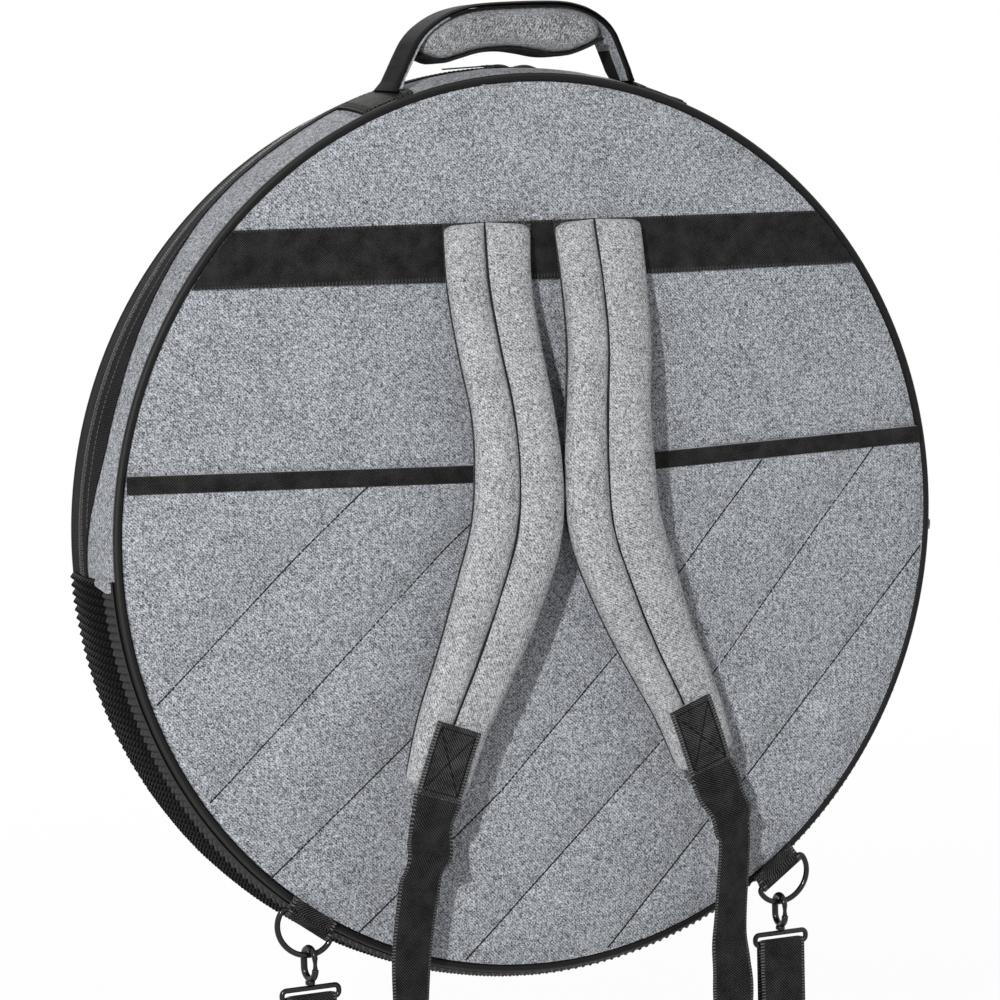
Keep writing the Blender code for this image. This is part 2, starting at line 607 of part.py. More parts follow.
def cut_path(points, height, above):
    """The part of an arch above a height, or its left leg below it, with an exact end."""
    result = []
    for start, end in zip(points, points[1:]):
        if (start.z >= height) == above:
            result.append(start)
        if (start.z >= height) != (end.z >= height):
            result.append(start.lerp(end, (height - start.z) / (end.z - start.z)))
            if not above:
                return result
    return result


def handle_side(point):
    """The way across the webbing: level above, and along the side wall's slope at the feet."""
    share = (HANDLE_AXIS_Z + HANDLE_BEND_TOP - point.z) / HANDLE_BEND_HEIGHT
    slope = -2.0 * CROWN * HANDLE_Y / FRONT_Y ** 2
    out = Vector((point.x, 0.0, point.z)).normalized()
    return Vector((0.0, 1.0, 0.0)) + out * (slope * min(1.0, max(0.0, share)))


def handle_ribbon(name, path, thickness, material, pivot):
    """Webbing of the handle's width along a path."""
    sideways = [HANDLE_TURN @ handle_side(point) for point in path]
    path = [HANDLE_TURN @ point for point in path]
    ribbon(name, path, sideways, HANDLE_WEB_WIDTH, thickness, material, pivot)


def mirrored(points):
    """The same points on the other side."""
    return [Vector((-point.x, point.y, point.z)) for point in points]


def make_handle_feet(shell):
    """The sewn feet, and the short legs that bend when the handle swings."""
    feet = (("handle_patch_left", -HANDLE_HALF_WIDTH - PATCH_LEFT_BEYOND),
            ("handle_patch_right", HANDLE_HALF_WIDTH + PATCH_RIGHT_BEYOND))
    for name, middle in feet:
        centre = degrees(middle / SEAM_RADIUS) + HANDLE_TILT_DEG
        half = degrees(0.5 * PATCH_LENGTH / SEAM_RADIUS)
        half_width = 0.5 * PATCH_WIDTH - GAP
        profile = skin_profile(HANDLE_Y - half_width, HANDLE_Y + half_width, 3, GAP, PATCH_THICK)
        rim_band(name, profile, rim_angles(centre - half, centre + half), BLACK_WEB, shell)
    arch = handle_arch()
    height = HANDLE_AXIS_Z + HANDLE_ROOT - GAP
    left = cut_path(arch, height, False)
    right = mirrored(cut_path(mirrored(arch[::-1]), height, False))[::-1]
    for name, path in (("handle_root_left", left), ("handle_root_right", right)):
        handle_ribbon(name, path, WEB_THICK, BLACK_WEB, shell)


def path_height(path, x):
    """Height of an arch at a distance x from its middle, near the top."""
    for start, end in zip(path, path[1:]):
        if start.x <= x <= end.x:
            return start.lerp(end, (x - start.x) / (end.x - start.x)).z
    return path[0].z


def grip_under(index):
    """Underside height of the grip at one of its stations: lower near both ends."""
    return GRIP_UNDER_MIDDLE + (GRIP_UNDER_LOW - GRIP_UNDER_MIDDLE) * GRIP_UNDER_SHARES[index]


def make_handle(swing):
    """Webbing arch, lining, padded grip and the binding along its lower edges."""
    arch = handle_arch()
    web = cut_path(arch, HANDLE_AXIS_Z + HANDLE_ROOT, True)
    handle_ribbon("handle_webbing", web, WEB_THICK, BLACK_WEB, swing)
    inset = 0.5 * WEB_THICK + GAP + 0.5 * HANDLE_LINING
    lining = cut_path(offset_path(arch, inset), HANDLE_AXIS_Z + HANDLE_ROOT, True)
    handle_ribbon("handle_lining", lining, HANDLE_LINING, HEATHER, swing)
    roof = offset_path(arch, inset + 0.5 * HANDLE_LINING + 2.0 * GAP)
    rings, under = [], []
    count = len(GRIP_UNDER_SHARES)
    for i in range(count):
        x = GRIP_HALF_LENGTH * (2.0 * i / (count - 1) - 1.0)
        low = grip_under(i)
        high = path_height(roof, x)
        rings.append([HANDLE_TURN @ Vector((x, HANDLE_Y + 0.5 * GRIP_WIDTH * a, low + (high - low) * b))
                      for a, b in GRIP_SECTION_SHARES])
        under.append(Vector((x, HANDLE_Y, low - GAP - 0.5 * GRIP_BINDING)))
    loft("handle_grip", rings, PAD_CLOTH, swing)
    rings = []
    for point in under:
        corners = ((0.43, 0.5), (-0.43, 0.5), (-0.43, -0.5), (0.43, -0.5))
        rings.append([HANDLE_TURN @ (point + Vector((0.0, GRIP_WIDTH * a, GRIP_BINDING * b)))
                      for a, b in corners])
    loft("grip_binding", rings, BLACK_WEB, swing)


# Shoulder pads and straps

OUTWARD = Vector((0.0, -1.0, 0.0))


def pad_stations(side):
    """Outer centre, direction, sideways, outward, width and thickness along a pad."""
    rows = smooth_points(PAD_SHARES, PAD_STEPS_PER_SPAN)
    centres = [Vector((side * PAD_SPREAD * row[1], BACK_Y - PAD_STAND_OFF * row[2],
                       PAD_TOP - PAD_DROP * row[0])) for row in rows]
    stations = []
    for row, centre, along in zip(rows, centres, tangents(centres)):
        across = along.cross(OUTWARD).normalized()
        out = across.cross(along).normalized()
        stations.append((centre, along, across, out, PAD_WIDTH * row[3], PAD_THICK * row[4]))
    first = stations[0]
    flat = Vector((first[1].x, 0.0, first[1].z)).normalized()
    across = flat.cross(OUTWARD).normalized()
    stations[0] = (first[0], flat, Vector((side * across.x * side, 0.0, 0.0)).normalized(), OUTWARD,
                   first[4], first[5])
    return stations


def pad_ring(station, outline, extra_width_share=1.0):
    """Points of a section, with widths and heights as shares of the pad's."""
    centre, _, across, out, width, thickness = station
    return [centre + across * (0.5 * width * extra_width_share * u) + out * (thickness * (v - 1.0))
            for u, v in outline]


def make_pad(suffix, side, swing):
    """Padded strap, its backing, the piping of its centre seam, and its end tab."""
    stations = pad_stations(side)
    loft("shoulder_pad_" + suffix, [pad_ring(station, PAD_SECTION_SHARES) for station in stations],
         PAD_CLOTH, swing)
    rings = []
    for centre, _, across, out, width, thickness in stations:
        half = 0.5 * width * BACKING_WIDTH_SHARE
        near = -thickness - GAP
        rings.append([centre + across * (half * a) + out * (near - BACKING_THICK * b)
                      for a, b in ((1, 0), (-1, 0), (-1, 1), (1, 1))])
    loft("pad_backing_" + suffix, rings, BLACK_CLOTH, swing)
    groove = PAD_SECTION_SHARES[5][1]
    seam = [centre + out * (thickness * (groove - 1.0) + SEAM_LIFT + SEAM_PIPING)
            for centre, _, _, out, _, thickness in stations]
    tab_index = next(i for i, row in enumerate(smooth_points(PAD_SHARES, PAD_STEPS_PER_SPAN))
                     if row[0] >= TAB_START_SHARE)
    tube("pad_seam_" + suffix, seam[:tab_index], SEAM_PIPING, BLACK_CORD, swing)
    make_tab(suffix, stations, swing)


def tab_path(stations):
    """Middle line of the end tab, on the pad's outer face and a little beyond it."""
    lift = GAP + 0.5 * TAB_THICK
    path = [centre + out * lift for centre, _, _, out, _, _ in stations[-3:]]
    return path + [path[-1] + stations[-1][1] * TAB_BEYOND_PAD]


def make_tab(suffix, stations, swing):
    """The webbing tab sewn over the pad's lower end."""
    path = tab_path(stations)
    ribbon("pad_tab_" + suffix, path, [stations[-1][2]] * len(path), TAB_WIDTH, TAB_THICK, BLACK_WEB, swing)


def strap_route(side):
    """Middle line and sideways directions of the webbing that hangs from the pad to the hook."""
    stations = pad_stations(side)
    along, across = stations[-1][1], stations[-1][2]
    start = tab_path(stations)[-1] + along * GAP
    place = hook_frame(side)
    end = Vector((place["low"].x, place["web_y"], place["front_end"] - GAP))
    drop = start.z - STRAP_BOTTOM
    rows = [(*(start + along * STRAP_STIFF_END), 0.0)]
    for x, y, z, twist in (STRAP_LEFT_SHARES if side < 0.0 else STRAP_RIGHT_SHARES):
        rows.append((start.x + (end.x - start.x) * x, start.y + (end.y - start.y) * y,
                     start.z - drop * z, 0.5 * pi * twist))
    rows.append((*end, pi))
    rows = smooth_points(rows, STRAP_STEPS_PER_SPAN)
    centres = [start] + [Vector(row[:3]) for row in rows]
    sideways = [across, across]
    for row in rows[1:]:
        sideways.append(Matrix.Rotation(row[3], 3, "Z") @ Vector((-1.0, 0.0, 0.0)))
    return centres, sideways


def make_strap(suffix, side, shell):
    """The hanging strap webbing."""
    centres, sideways = strap_route(side)
    ribbon("strap_webbing_" + suffix, centres, sideways, STRAP_WIDTH, STRAP_THICK, BLACK_WEB, shell)


# D-rings, hooks and adjusters

def ring_frame(side):
    """Centre of the ring's bar, the direction along it and the way out from the rim."""
    angle = radians(RING_LEFT_DOWN_DEG if side < 0.0 else RING_RIGHT_DOWN_DEG)
    out = Vector((side * sin(angle), 0.0, -cos(angle)))
    along = Vector((cos(angle), 0.0, side * sin(angle)))
    centre = out * RING_BAR_RADIUS
    centre.y = RING_Y
    return centre, along, out


def ring_outline():
    """Half D-ring in its own plane: distance along the bar and out from it."""
    points = []
    for step in range(3):
        turn = 0.5 * pi * (1.0 - step / 3.0)
        points.append((RING_HALF_WIDTH - RING_CORNER * (1.0 - cos(turn)), RING_CORNER * (1.0 - sin(turn))))
    reach = RING_REACH - RING_CORNER
    for step in range(RING_ARC_STEPS + 1):
        turn = pi * step / RING_ARC_STEPS
        points.append((RING_HALF_WIDTH * cos(turn), RING_CORNER + reach * sin(turn)))
    left = [(-along, out) for along, out in points[:3]]
    return points + left[::-1]


def hook_frame(side):
    """Where the hook holds its ring, and the heights of what hangs below."""
    centre, along, out = ring_frame(side)
    reach = RING_REACH - RING_CORNER
    a = RING_HALF_WIDTH * -along.z
    b = reach * -out.z
    length = hypot(a, b)
    low = centre + along * (RING_HALF_WIDTH * a / length) + out * (RING_CORNER + reach * b / length)
    arch = low.z + RING_WIRE + GAP + HOOK_WIRE - HOOK_ARC
    foot = arch - HOOK_STRAIGHT
    barrel_low = foot - HOOK_ARC - HOOK_WIRE - 0.5 * BARREL_HEIGHT
    eye = barrel_low - GAP - EYE_WIRE - EYE_HALF_HEIGHT
    bar = eye - EYE_HALF_HEIGHT
    web_y = low.y - EYE_WIRE - GAP - 0.5 * STRAP_THICK
    return {"low": low, "arch": arch, "foot": foot, "barrel": barrel_low, "eye": eye, "bar": bar,
            "web_y": web_y, "front_end": bar - HOOK_WEB_FRONT_LENGTH, "tail_end": bar - HOOK_WEB_TAIL_LENGTH,
            "adjuster": bar - ADJUSTER_DROP}


def make_ring_tab(suffix, side, shell):
    """Webbing folded round the ring's bar, with its doubled end sewn into the rim's seam."""
    centre, along, out = ring_frame(side)
    inside = RING_WIRE + GAP
    outside = inside + RING_TAB_THICK
    half_neck = 0.5 * RING_TAB_NECK
    spread = degrees(acos(half_neck / outside))
    steps = 10
    rim = []
    for step in range(steps + 1):
        turn = radians(-spread - 90.0 + 90.0 + (2.0 * spread) * step / steps)
        rim.append((outside * cos(turn), outside * sin(turn)))
    foot = RING_TAB_FOOT - RING_BAR_RADIUS
    outline = rim + [(foot, half_neck), (foot, -half_neck)]
    rings = [[centre + along * (0.5 * RING_TAB_WIDTH * end) + out * x + Vector((0.0, y, 0.0))
              for x, y in outline] for end in (-1, 1)]
    base = loft("ring_tab_" + suffix, rings, BLACK_WEB, shell)
    bore = bmesh.new()
    bmesh.ops.create_cone(bore, cap_ends=True, segments=14, radius1=inside, radius2=inside,
                          depth=2.0 * RING_TAB_WIDTH)
    turn = Matrix((along, Vector((0.0, 1.0, 0.0)), along.cross(Vector((0.0, 1.0, 0.0))))).transposed()
    place = Matrix.Translation(centre) @ turn.to_4x4() @ Matrix.Rotation(radians(90.0), 4, "Y")
    join_onto(base, "ring_bore_" + suffix, bore, place, shell)
    base.modifiers["ring_bore_" + suffix].operation = "DIFFERENCE"


def make_ring(suffix, side, swing):
    """The D-ring."""
    centre, along, out = ring_frame(side)
    path = [centre + along * a + out * b for a, b in ring_outline()]
    tube("d_ring_" + suffix, path, RING_WIRE, BLACK_METAL, swing, closed=True)


def hook_turn(side):
    """Direction of the hook's opening side."""
    turn = radians(HOOK_LEFT_TURN_DEG) if side < 0.0 else 0.0
    return Vector((-sin(turn), -cos(turn), 0.0))


def arc_pairs(centre_height, start_deg, end_deg, steps):
    """Points of an arc in the hook's plane: distance sideways and height."""
    pairs = []
    for step in range(steps + 1):
        turn = radians(start_deg + (end_deg - start_deg) * step / steps)
        pairs.append((HOOK_ARC * cos(turn), centre_height + HOOK_ARC * sin(turn)))
    return pairs


def make_hook(suffix, side, swivel, lever):
    """A snap hook with its swivel barrel, and the sprung gate that closes it."""
    place = hook_frame(side)
    low = place["low"]
    open_side = hook_turn(side)
    pairs = arc_pairs(place["foot"], 0.0, -180.0, 7) + arc_pairs(place["arch"], 180.0, 0.0, 7)
    path = [Vector((low.x, low.y, 0.0)) + open_side * a + Vector((0.0, 0.0, b)) for a, b in pairs]
    body = tube("snap_hook_" + suffix, path, HOOK_WIRE, BLACK_METAL, swivel)
    mesh = bpy.data.meshes.new_from_object(body)
    mesh.transform(Matrix.Translation(Vector(swivel["place"])))
    bpy.data.objects.remove(body, do_unlink=True)
    mesh.materials.clear()
    body = add_object("snap_hook_" + suffix, mesh, BLACK_METAL, swivel)
    barrel = bmesh.new()
    bmesh.ops.create_cone(barrel, cap_ends=True, segments=12, radius1=BARREL_RADIUS, radius2=BARREL_RADIUS,
                          depth=BARREL_HEIGHT)
    spot = Matrix.Translation((low.x, low.y, place["barrel"] + 0.5 * BARREL_HEIGHT))
    join_onto(body, "hook_barrel_" + suffix, barrel, spot, swivel)
    top = place["arch"] - GATE_TOP_GAP
    foot = place["foot"] + GATE_FOOT_GAP
    gate = [Vector((low.x, low.y, height)) + open_side * HOOK_ARC for height in (foot, 0.5 * (foot + top), top)]
    tube("hook_gate_" + suffix, gate, GATE_WIRE, BLACK_METAL, lever)


def make_eye(suffix, side, hang):
    """The strap eye under the hook, and the doubled webbing that loops through it."""
    place = hook_frame(side)
    low = place["low"]
    corners = ((1, 1), (-1, 1), (-1, -1), (1, -1))
    path = []
    for number, (a, b) in enumerate(corners):
        for step in range(3):
            turn = 0.5 * pi * (number + step / 2.0)
            path.append(Vector((low.x + a * (EYE_HALF_WIDTH - EYE_CORNER) + EYE_CORNER * cos(turn), low.y,
                                place["eye"] + b * (EYE_HALF_HEIGHT - EYE_CORNER) + EYE_CORNER * sin(turn))))
    tube("hook_eye_" + suffix, path, EYE_WIRE, BLACK_METAL, hang, closed=True)
    bar = place["bar"]
    bend = low.y - place["web_y"]
    centres = [Vector((low.x, place["web_y"], place["front_end"])), Vector((low.x, place["web_y"], bar))]
    steps = 8
    for step in range(1, steps):
        turn = pi * (1.0 - step / steps)
        centres.append(Vector((low.x, low.y + bend * cos(turn), bar + bend * sin(turn))))
    centres += [Vector((low.x, low.y + bend, bar)), Vector((low.x, low.y + bend, place["tail_end"]))]
    ribbon("hook_webbing_" + suffix, centres, [Vector((1.0, 0.0, 0.0))] * len(centres), STRAP_WIDTH,
           STRAP_THICK, BLACK_WEB, hang)


def make_adjuster(suffix, side, slide):
    """A three-bar slide: outer bars before the webbing, middle bar behind it."""
    place = hook_frame(side)
    low = place["low"]
    half = 0.5 * STRAP_WIDTH + ADJUSTER_SIDE_GAP
    front = place["web_y"] - 0.5 * STRAP_THICK - GAP
    back = place["web_y"] + 0.5 * STRAP_THICK + GAP
    deep = back + ADJUSTER_BAR_THICK
    top = ADJUSTER_HALF_TALL
    height = place["adjuster"]

    def bar(low_height, high_height, near, far):
        return box_mesh((low.x - half - 0.5 * ADJUSTER_RAIL, near, height + low_height),
                        (low.x + half + 0.5 * ADJUSTER_RAIL, far, height + high_height))

    def rail(way):
        inner, outer = low.x + way * half, low.x + way * (half + ADJUSTER_RAIL)
        return box_mesh((min(inner, outer), front - ADJUSTER_BAR_THICK, height - top),
                        (max(inner, outer), deep, height + top))

    base = finish_mesh("strap_adjuster_" + suffix, rail(-1.0), BLACK_METAL, slide)
    still = Matrix.Identity(4)
    join_onto(base, "adjuster_rail_" + suffix, rail(1.0), still, slide)
    near = front - ADJUSTER_BAR_THICK
    join_onto(base, "adjuster_top_" + suffix, bar(top - ADJUSTER_BAR, top, near, front), still, slide)
    join_onto(base, "adjuster_foot_" + suffix, bar(-top, ADJUSTER_BAR - top, near, front), still, slide)
    middle = bar(-0.5 * ADJUSTER_BAR, 0.5 * ADJUSTER_BAR, back, deep)
    join_onto(base, "adjuster_middle_" + suffix, middle, still, slide)


# Assembly: one pivot for each moving body

bag = make_pivot("bag", ORIGIN)
shell = make_pivot("shell", (0.0, 0.0, 0.0), bag)
make_back(shell)
make_walls(shell)
make_front(("lower_front_panel", "lower_front_foam", "lower_front_lining", "lower_front_piping"),
           LOWER_ARC, shell)
make_handle_feet(shell)

flap = make_pivot("flap_hinge", (0.0, FLAP_AXIS_Y, FLAP_AXIS_Z), shell)
make_flap(flap)

SLIDERS = (("left", SLIDER_LEFT_DEG, PULL_LEFT_TURN_DEG, PULL_LEFT_DROOP_DEG),
           ("right", SLIDER_RIGHT_DEG, PULL_RIGHT_TURN_DEG, PULL_RIGHT_DROOP_DEG))
for slider_name, slider_deg, pull_turn, pull_droop in SLIDERS:
    spin = make_pivot("slider_run_" + slider_name, (0.0, ZIP_Y, 0.0), shell)
    make_slider("zip_slider_" + slider_name, slider_deg, pull_turn, spin)
    flip = make_pivot("pull_flip_" + slider_name, knuckle_frame(slider_deg, pull_turn).translation, spin)
    make_pull("zip_pull_" + slider_name, slider_deg, pull_turn, pull_droop, flip)

swing = make_pivot("handle_swing", HANDLE_TURN @ Vector((0.0, HANDLE_Y, HANDLE_AXIS_Z)), shell)
make_handle(swing)

PAD_AXIS = (0.0, BACK_Y - GAP - BAND_THICK, PAD_TOP + PAD_AXIS_RISE)
for strap_name, strap_side in (("left", -1.0), ("right", 1.0)):
    pad_swing = make_pivot("pad_swing_" + strap_name, PAD_AXIS, shell)
    make_pad(strap_name, strap_side, pad_swing)
    make_strap(strap_name, strap_side, shell)
    make_ring_tab(strap_name, strap_side, shell)
    ring_swing = make_pivot("ring_swing_" + strap_name, ring_frame(strap_side)[0], shell)
    make_ring(strap_name, strap_side, ring_swing)
    hook_place = hook_frame(strap_side)
    hang = make_pivot("eye_hang_" + strap_name, hook_place["low"], ring_swing)
    make_eye(strap_name, strap_side, hang)
    swivel = make_pivot("hook_swivel_" + strap_name, hook_place["low"], hang)
    lever_place = hook_place["low"] + hook_turn(strap_side) * HOOK_ARC
    lever_place.z = hook_place["foot"] + GATE_FOOT_GAP
    lever = make_pivot("gate_lever_" + strap_name, lever_place, swivel)
    make_hook(strap_name, strap_side, swivel, lever)
    slide = make_pivot("adjuster_slide_" + strap_name,
                       (hook_place["low"].x, hook_place["web_y"], hook_place["adjuster"]), hang)
    make_adjuster(strap_name, strap_side, slide)
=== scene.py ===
# Looks of the cymbal bag: woven cloth, webbing, studded rubber and black metal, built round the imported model.
# Metres. Shapes are made about the middle of the round body and moved to the model's frame at the end.

from math import acos, ceil, cos, degrees, exp, hypot, pi, radians, sin, sqrt

import bmesh
import bpy
from mathutils import Matrix, Vector, noise


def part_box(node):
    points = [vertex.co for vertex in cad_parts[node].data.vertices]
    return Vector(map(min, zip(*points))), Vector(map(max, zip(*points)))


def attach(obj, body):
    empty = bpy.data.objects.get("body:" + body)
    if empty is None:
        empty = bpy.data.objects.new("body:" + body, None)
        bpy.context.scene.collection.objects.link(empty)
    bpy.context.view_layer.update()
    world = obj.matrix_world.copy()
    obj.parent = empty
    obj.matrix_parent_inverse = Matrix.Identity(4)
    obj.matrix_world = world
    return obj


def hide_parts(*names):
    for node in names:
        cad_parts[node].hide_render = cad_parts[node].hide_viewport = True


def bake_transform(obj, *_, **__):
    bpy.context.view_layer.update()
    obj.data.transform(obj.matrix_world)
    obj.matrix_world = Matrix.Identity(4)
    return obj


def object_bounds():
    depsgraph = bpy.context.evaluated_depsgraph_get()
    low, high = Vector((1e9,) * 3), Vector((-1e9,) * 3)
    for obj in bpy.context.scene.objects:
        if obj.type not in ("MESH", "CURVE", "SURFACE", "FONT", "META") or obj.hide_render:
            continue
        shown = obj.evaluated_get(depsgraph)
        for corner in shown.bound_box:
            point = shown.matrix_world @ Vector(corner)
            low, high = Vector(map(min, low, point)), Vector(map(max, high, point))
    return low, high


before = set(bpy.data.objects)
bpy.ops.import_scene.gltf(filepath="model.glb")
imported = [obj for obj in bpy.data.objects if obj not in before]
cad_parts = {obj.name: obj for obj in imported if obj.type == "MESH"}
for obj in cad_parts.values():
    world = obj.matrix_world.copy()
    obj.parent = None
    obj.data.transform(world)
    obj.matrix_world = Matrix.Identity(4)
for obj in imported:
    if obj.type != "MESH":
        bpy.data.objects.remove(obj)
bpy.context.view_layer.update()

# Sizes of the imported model
SEAM_RADIUS = 0.2945
DEPTH = 0.086
CROWN = 0.005
WALL_INSIDE = 0.2905
PANEL_RADIUS = 0.2900
PIPING_RADIUS = 0.2931
PIPING_WIRE = 0.0027
PIPING_Y = 0.0418
WALL_EDGE_Y = 0.0388
GAP = 0.0003
PANEL_CLOTH = 0.0015
LINING_FROM = 0.0075
LINING_THICK = 0.0008
BAND_TOP = 0.2004
BAND_WIDTH = 0.036
BAND_THICK = 0.0014
POCKET_TOP = 0.0506
POCKET_THICK = 0.0022
TAPE_WIDTH = 0.0114
TAPE_THICK = 0.0012
ZIP_HALF_DEG = 93.0
ZIP_Y = 0.010
COIL_WIDTH = 0.0030
COIL_SPLIT = 0.0004
COIL_TOP = 0.0012
COIL_DEEP = 0.0020
FLANGE_THICK = 0.0008
FLANGE_TOP_WIDTH = 0.0070
FLANGE_SIDE_WIDTH = 0.0285
FLANGE_WIDE_DEG = 76.0
FLANGE_START_DEG = 34.0

HANDLE_TILT_DEG = -1.6
HANDLE_LEAN = 0.0050
HANDLE_SET_IN = 0.022
HANDLE_WEB_WIDTH = 0.033
HANDLE_HALF_WIDTH = 0.0835
HANDLE_RISE = 0.0465
HANDLE_FOOT_GAP = 0.0019
HANDLE_RUN_DEG = (18.4, 17.0)
HANDLE_BEND_TOP = 0.0060
HANDLE_BEND_HEIGHT = 0.0075
HANDLE_ROOT = 0.0155
# The handle's arch: share of the half width sideways and of the rise up
HANDLE_SHAPE_SHARES = ((1.0246, -0.008), (1.0024, 0.040), (0.989, 0.080), (0.941, 0.248), (0.889, 0.428),
                       (0.841, 0.575), (0.765, 0.715), (0.647, 0.847), (0.510, 0.937), (0.327, 0.988),
                       (0.0, 1.0))
WEB_THICK = 0.0024
HANDLE_LINING = 0.0018
PATCH_LENGTH = 0.038
PATCH_WIDTH = 0.038
PATCH_THICK = 0.0018
PATCH_LEFT_BEYOND = 0.0108
PATCH_RIGHT_BEYOND = 0.0225
GRIP_HALF_LENGTH = 0.065
GRIP_WIDTH = 0.033
GRIP_RISE_MIDDLE = 0.0182
GRIP_RISE_LOW = 0.0119
GRIP_BINDING = 0.0014
GRIP_UNDER_SHARES = (0.16, 1.0, 0.63, 0.16, 0.0, 0.0, 0.33, 0.75, 0.76, 0.21, -0.62)

PAD_DROP = 0.355
PAD_SPREAD = 0.0985
PAD_STAND_OFF = 0.043
PAD_WIDTH = 0.065
PAD_THICK = 0.016
# A pad from its top down: share of the drop, spread, stand-off, width and thickness
PAD_SHARES = ((0.000, 0.400, 0.280, 0.920, 0.50), (0.113, 0.414, 0.510, 0.890, 0.85),
              (0.225, 0.394, 0.770, 0.877, 1.00), (0.338, 0.343, 0.930, 0.877, 1.00),
              (0.451, 0.323, 1.000, 0.946, 1.00), (0.563, 0.352, 1.000, 0.985, 1.00),
              (0.676, 0.487, 0.985, 0.954, 1.00), (0.789, 0.652, 0.970, 0.862, 1.00),
              (0.901, 0.843, 0.955, 0.770, 0.85), (1.000, 0.970, 0.930, 0.700, 0.60))
PAD_TOP_SHARES = ((-1.0, 0.25), (-0.94, 0.64), (-0.76, 0.92), (-0.45, 1.0), (-0.04, 0.92), (0.08, 0.70),
                  (0.20, 0.92), (0.48, 1.0), (0.76, 0.92), (0.94, 0.64), (1.0, 0.25))
PAD_SEAM_SHARE = 0.08
PAD_UNDER_SHARE = 0.94
BACKING_THICK = 0.0016
BACKING_WIDTH_SHARE = 0.96
SEAM_PIPING = 0.0011
SEAM_LIFT = 0.0008
SEAM_GROOVE_SHARE = 0.68
TAB_WIDTH = 0.032
TAB_THICK = 0.0018
TAB_START_SHARE = 0.905
TAB_BEYOND_PAD = 0.010
STRAP_WIDTH = 0.034
STRAP_THICK = 0.0015
STRAP_HANG = 0.1805
# The loops from tab to hook: shares of the way across, of the way back and of the drop, and half turns
STRAP_LEFT_SHARES = ((0.053, 0.023, 0.045, 0.10), (0.072, 0.052, 0.096, 0.10), (0.153, 0.095, 0.168, 0.15),
                     (0.208, 0.135, 0.244, 0.17), (0.244, 0.178, 0.325, 0.20), (0.252, 0.221, 0.415, 0.26),
                     (0.247, 0.272, 0.518, 0.34), (0.247, 0.315, 0.662, 0.48), (0.292, 0.372, 0.839, 0.68),
                     (0.441, 0.516, 0.961, 0.88), (0.629, 0.659, 1.000, 1.05), (0.843, 0.845, 0.949, 1.30),
                     (0.972, 0.960, 0.850, 1.70), (1.000, 1.000, 0.760, 2.00))
STRAP_RIGHT_SHARES = ((0.132, 0.040, 0.062, 0.02), (0.254, 0.077, 0.137, 0.24), (0.259, 0.103, 0.180, 0.26),
                      (0.241, 0.138, 0.251, 0.25), (0.222, 0.172, 0.322, 0.24), (0.212, 0.206, 0.383, 0.20),
                      (0.239, 0.238, 0.439, 0.15), (0.260, 0.272, 0.513, 0.10), (0.257, 0.315, 0.662, 0.34),
                      (0.286, 0.372, 0.839, 0.64), (0.413, 0.516, 0.961, 0.88), (0.598, 0.659, 1.000, 1.05),
                      (0.832, 0.845, 0.949, 1.30), (0.967, 0.960, 0.850, 1.70), (1.000, 1.000, 0.760, 2.00))
STRAP_STIFF_END = 0.003

RING_LEFT_DOWN_DEG = 36.0
RING_RIGHT_DOWN_DEG = 34.4
RING_WIRE = 0.0019
RING_HALF_WIDTH = 0.0198
RING_REACH = 0.0205
RING_CORNER = 0.003
RING_BEHIND = 0.0045
RING_TAB_WIDTH = 0.0345
RING_TAB_THICK = 0.0015
RING_TAB_NECK = 0.0030
RING_TAB_REACH = 0.0102
HOOK_WIRE = 0.00225
HOOK_ARC = 0.00675
HOOK_STRAIGHT = 0.0065
HOOK_LEFT_TURN_DEG = -10.0
GATE_WIRE = 0.0016
GATE_TOP_GAP = 0.0005
GATE_FOOT_GAP = 0.0009
BARREL_RADIUS = 0.0032
BARREL_HEIGHT = 0.0032
EYE_WIRE = 0.00175
EYE_HALF_WIDTH = 0.0196
EYE_HALF_HEIGHT = 0.0036
EYE_CORNER = 0.0030
HOOK_WEB_FRONT_LENGTH = 0.0803
HOOK_WEB_TAIL_LENGTH = 0.0980
ADJUSTER_DROP = 0.0600

# Sizes that follow
BACK_Y = -0.5 * DEPTH
FRONT_Y = 0.5 * DEPTH
HANDLE_Y = BACK_Y + HANDLE_SET_IN
HANDLE_TOP = SEAM_RADIUS + HANDLE_RISE
RING_TAB_FOOT = PANEL_RADIUS + GAP
RING_BAR_RADIUS = RING_TAB_FOOT + RING_TAB_REACH
RING_Y = BACK_Y - RING_BEHIND
STRAP_BOTTOM = -SEAM_RADIUS - STRAP_HANG
COIL_BACK_Y = ZIP_Y - 0.5 * COIL_SPLIT - COIL_WIDTH
COIL_FRONT_Y = ZIP_Y + 0.5 * COIL_SPLIT + COIL_WIDTH
FLANGE_FRONT_Y = COIL_BACK_Y - GAP
FLAP_AXIS_Z = (SEAM_RADIUS + CROWN) * cos(radians(ZIP_HALF_DEG))
TURN = 360.0
back_low, back_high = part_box("back_panel")
MIDDLE = Vector((0.5 * (back_low.x + back_high.x), back_low.y - BACK_Y, 0.5 * (back_low.z + back_high.z)))

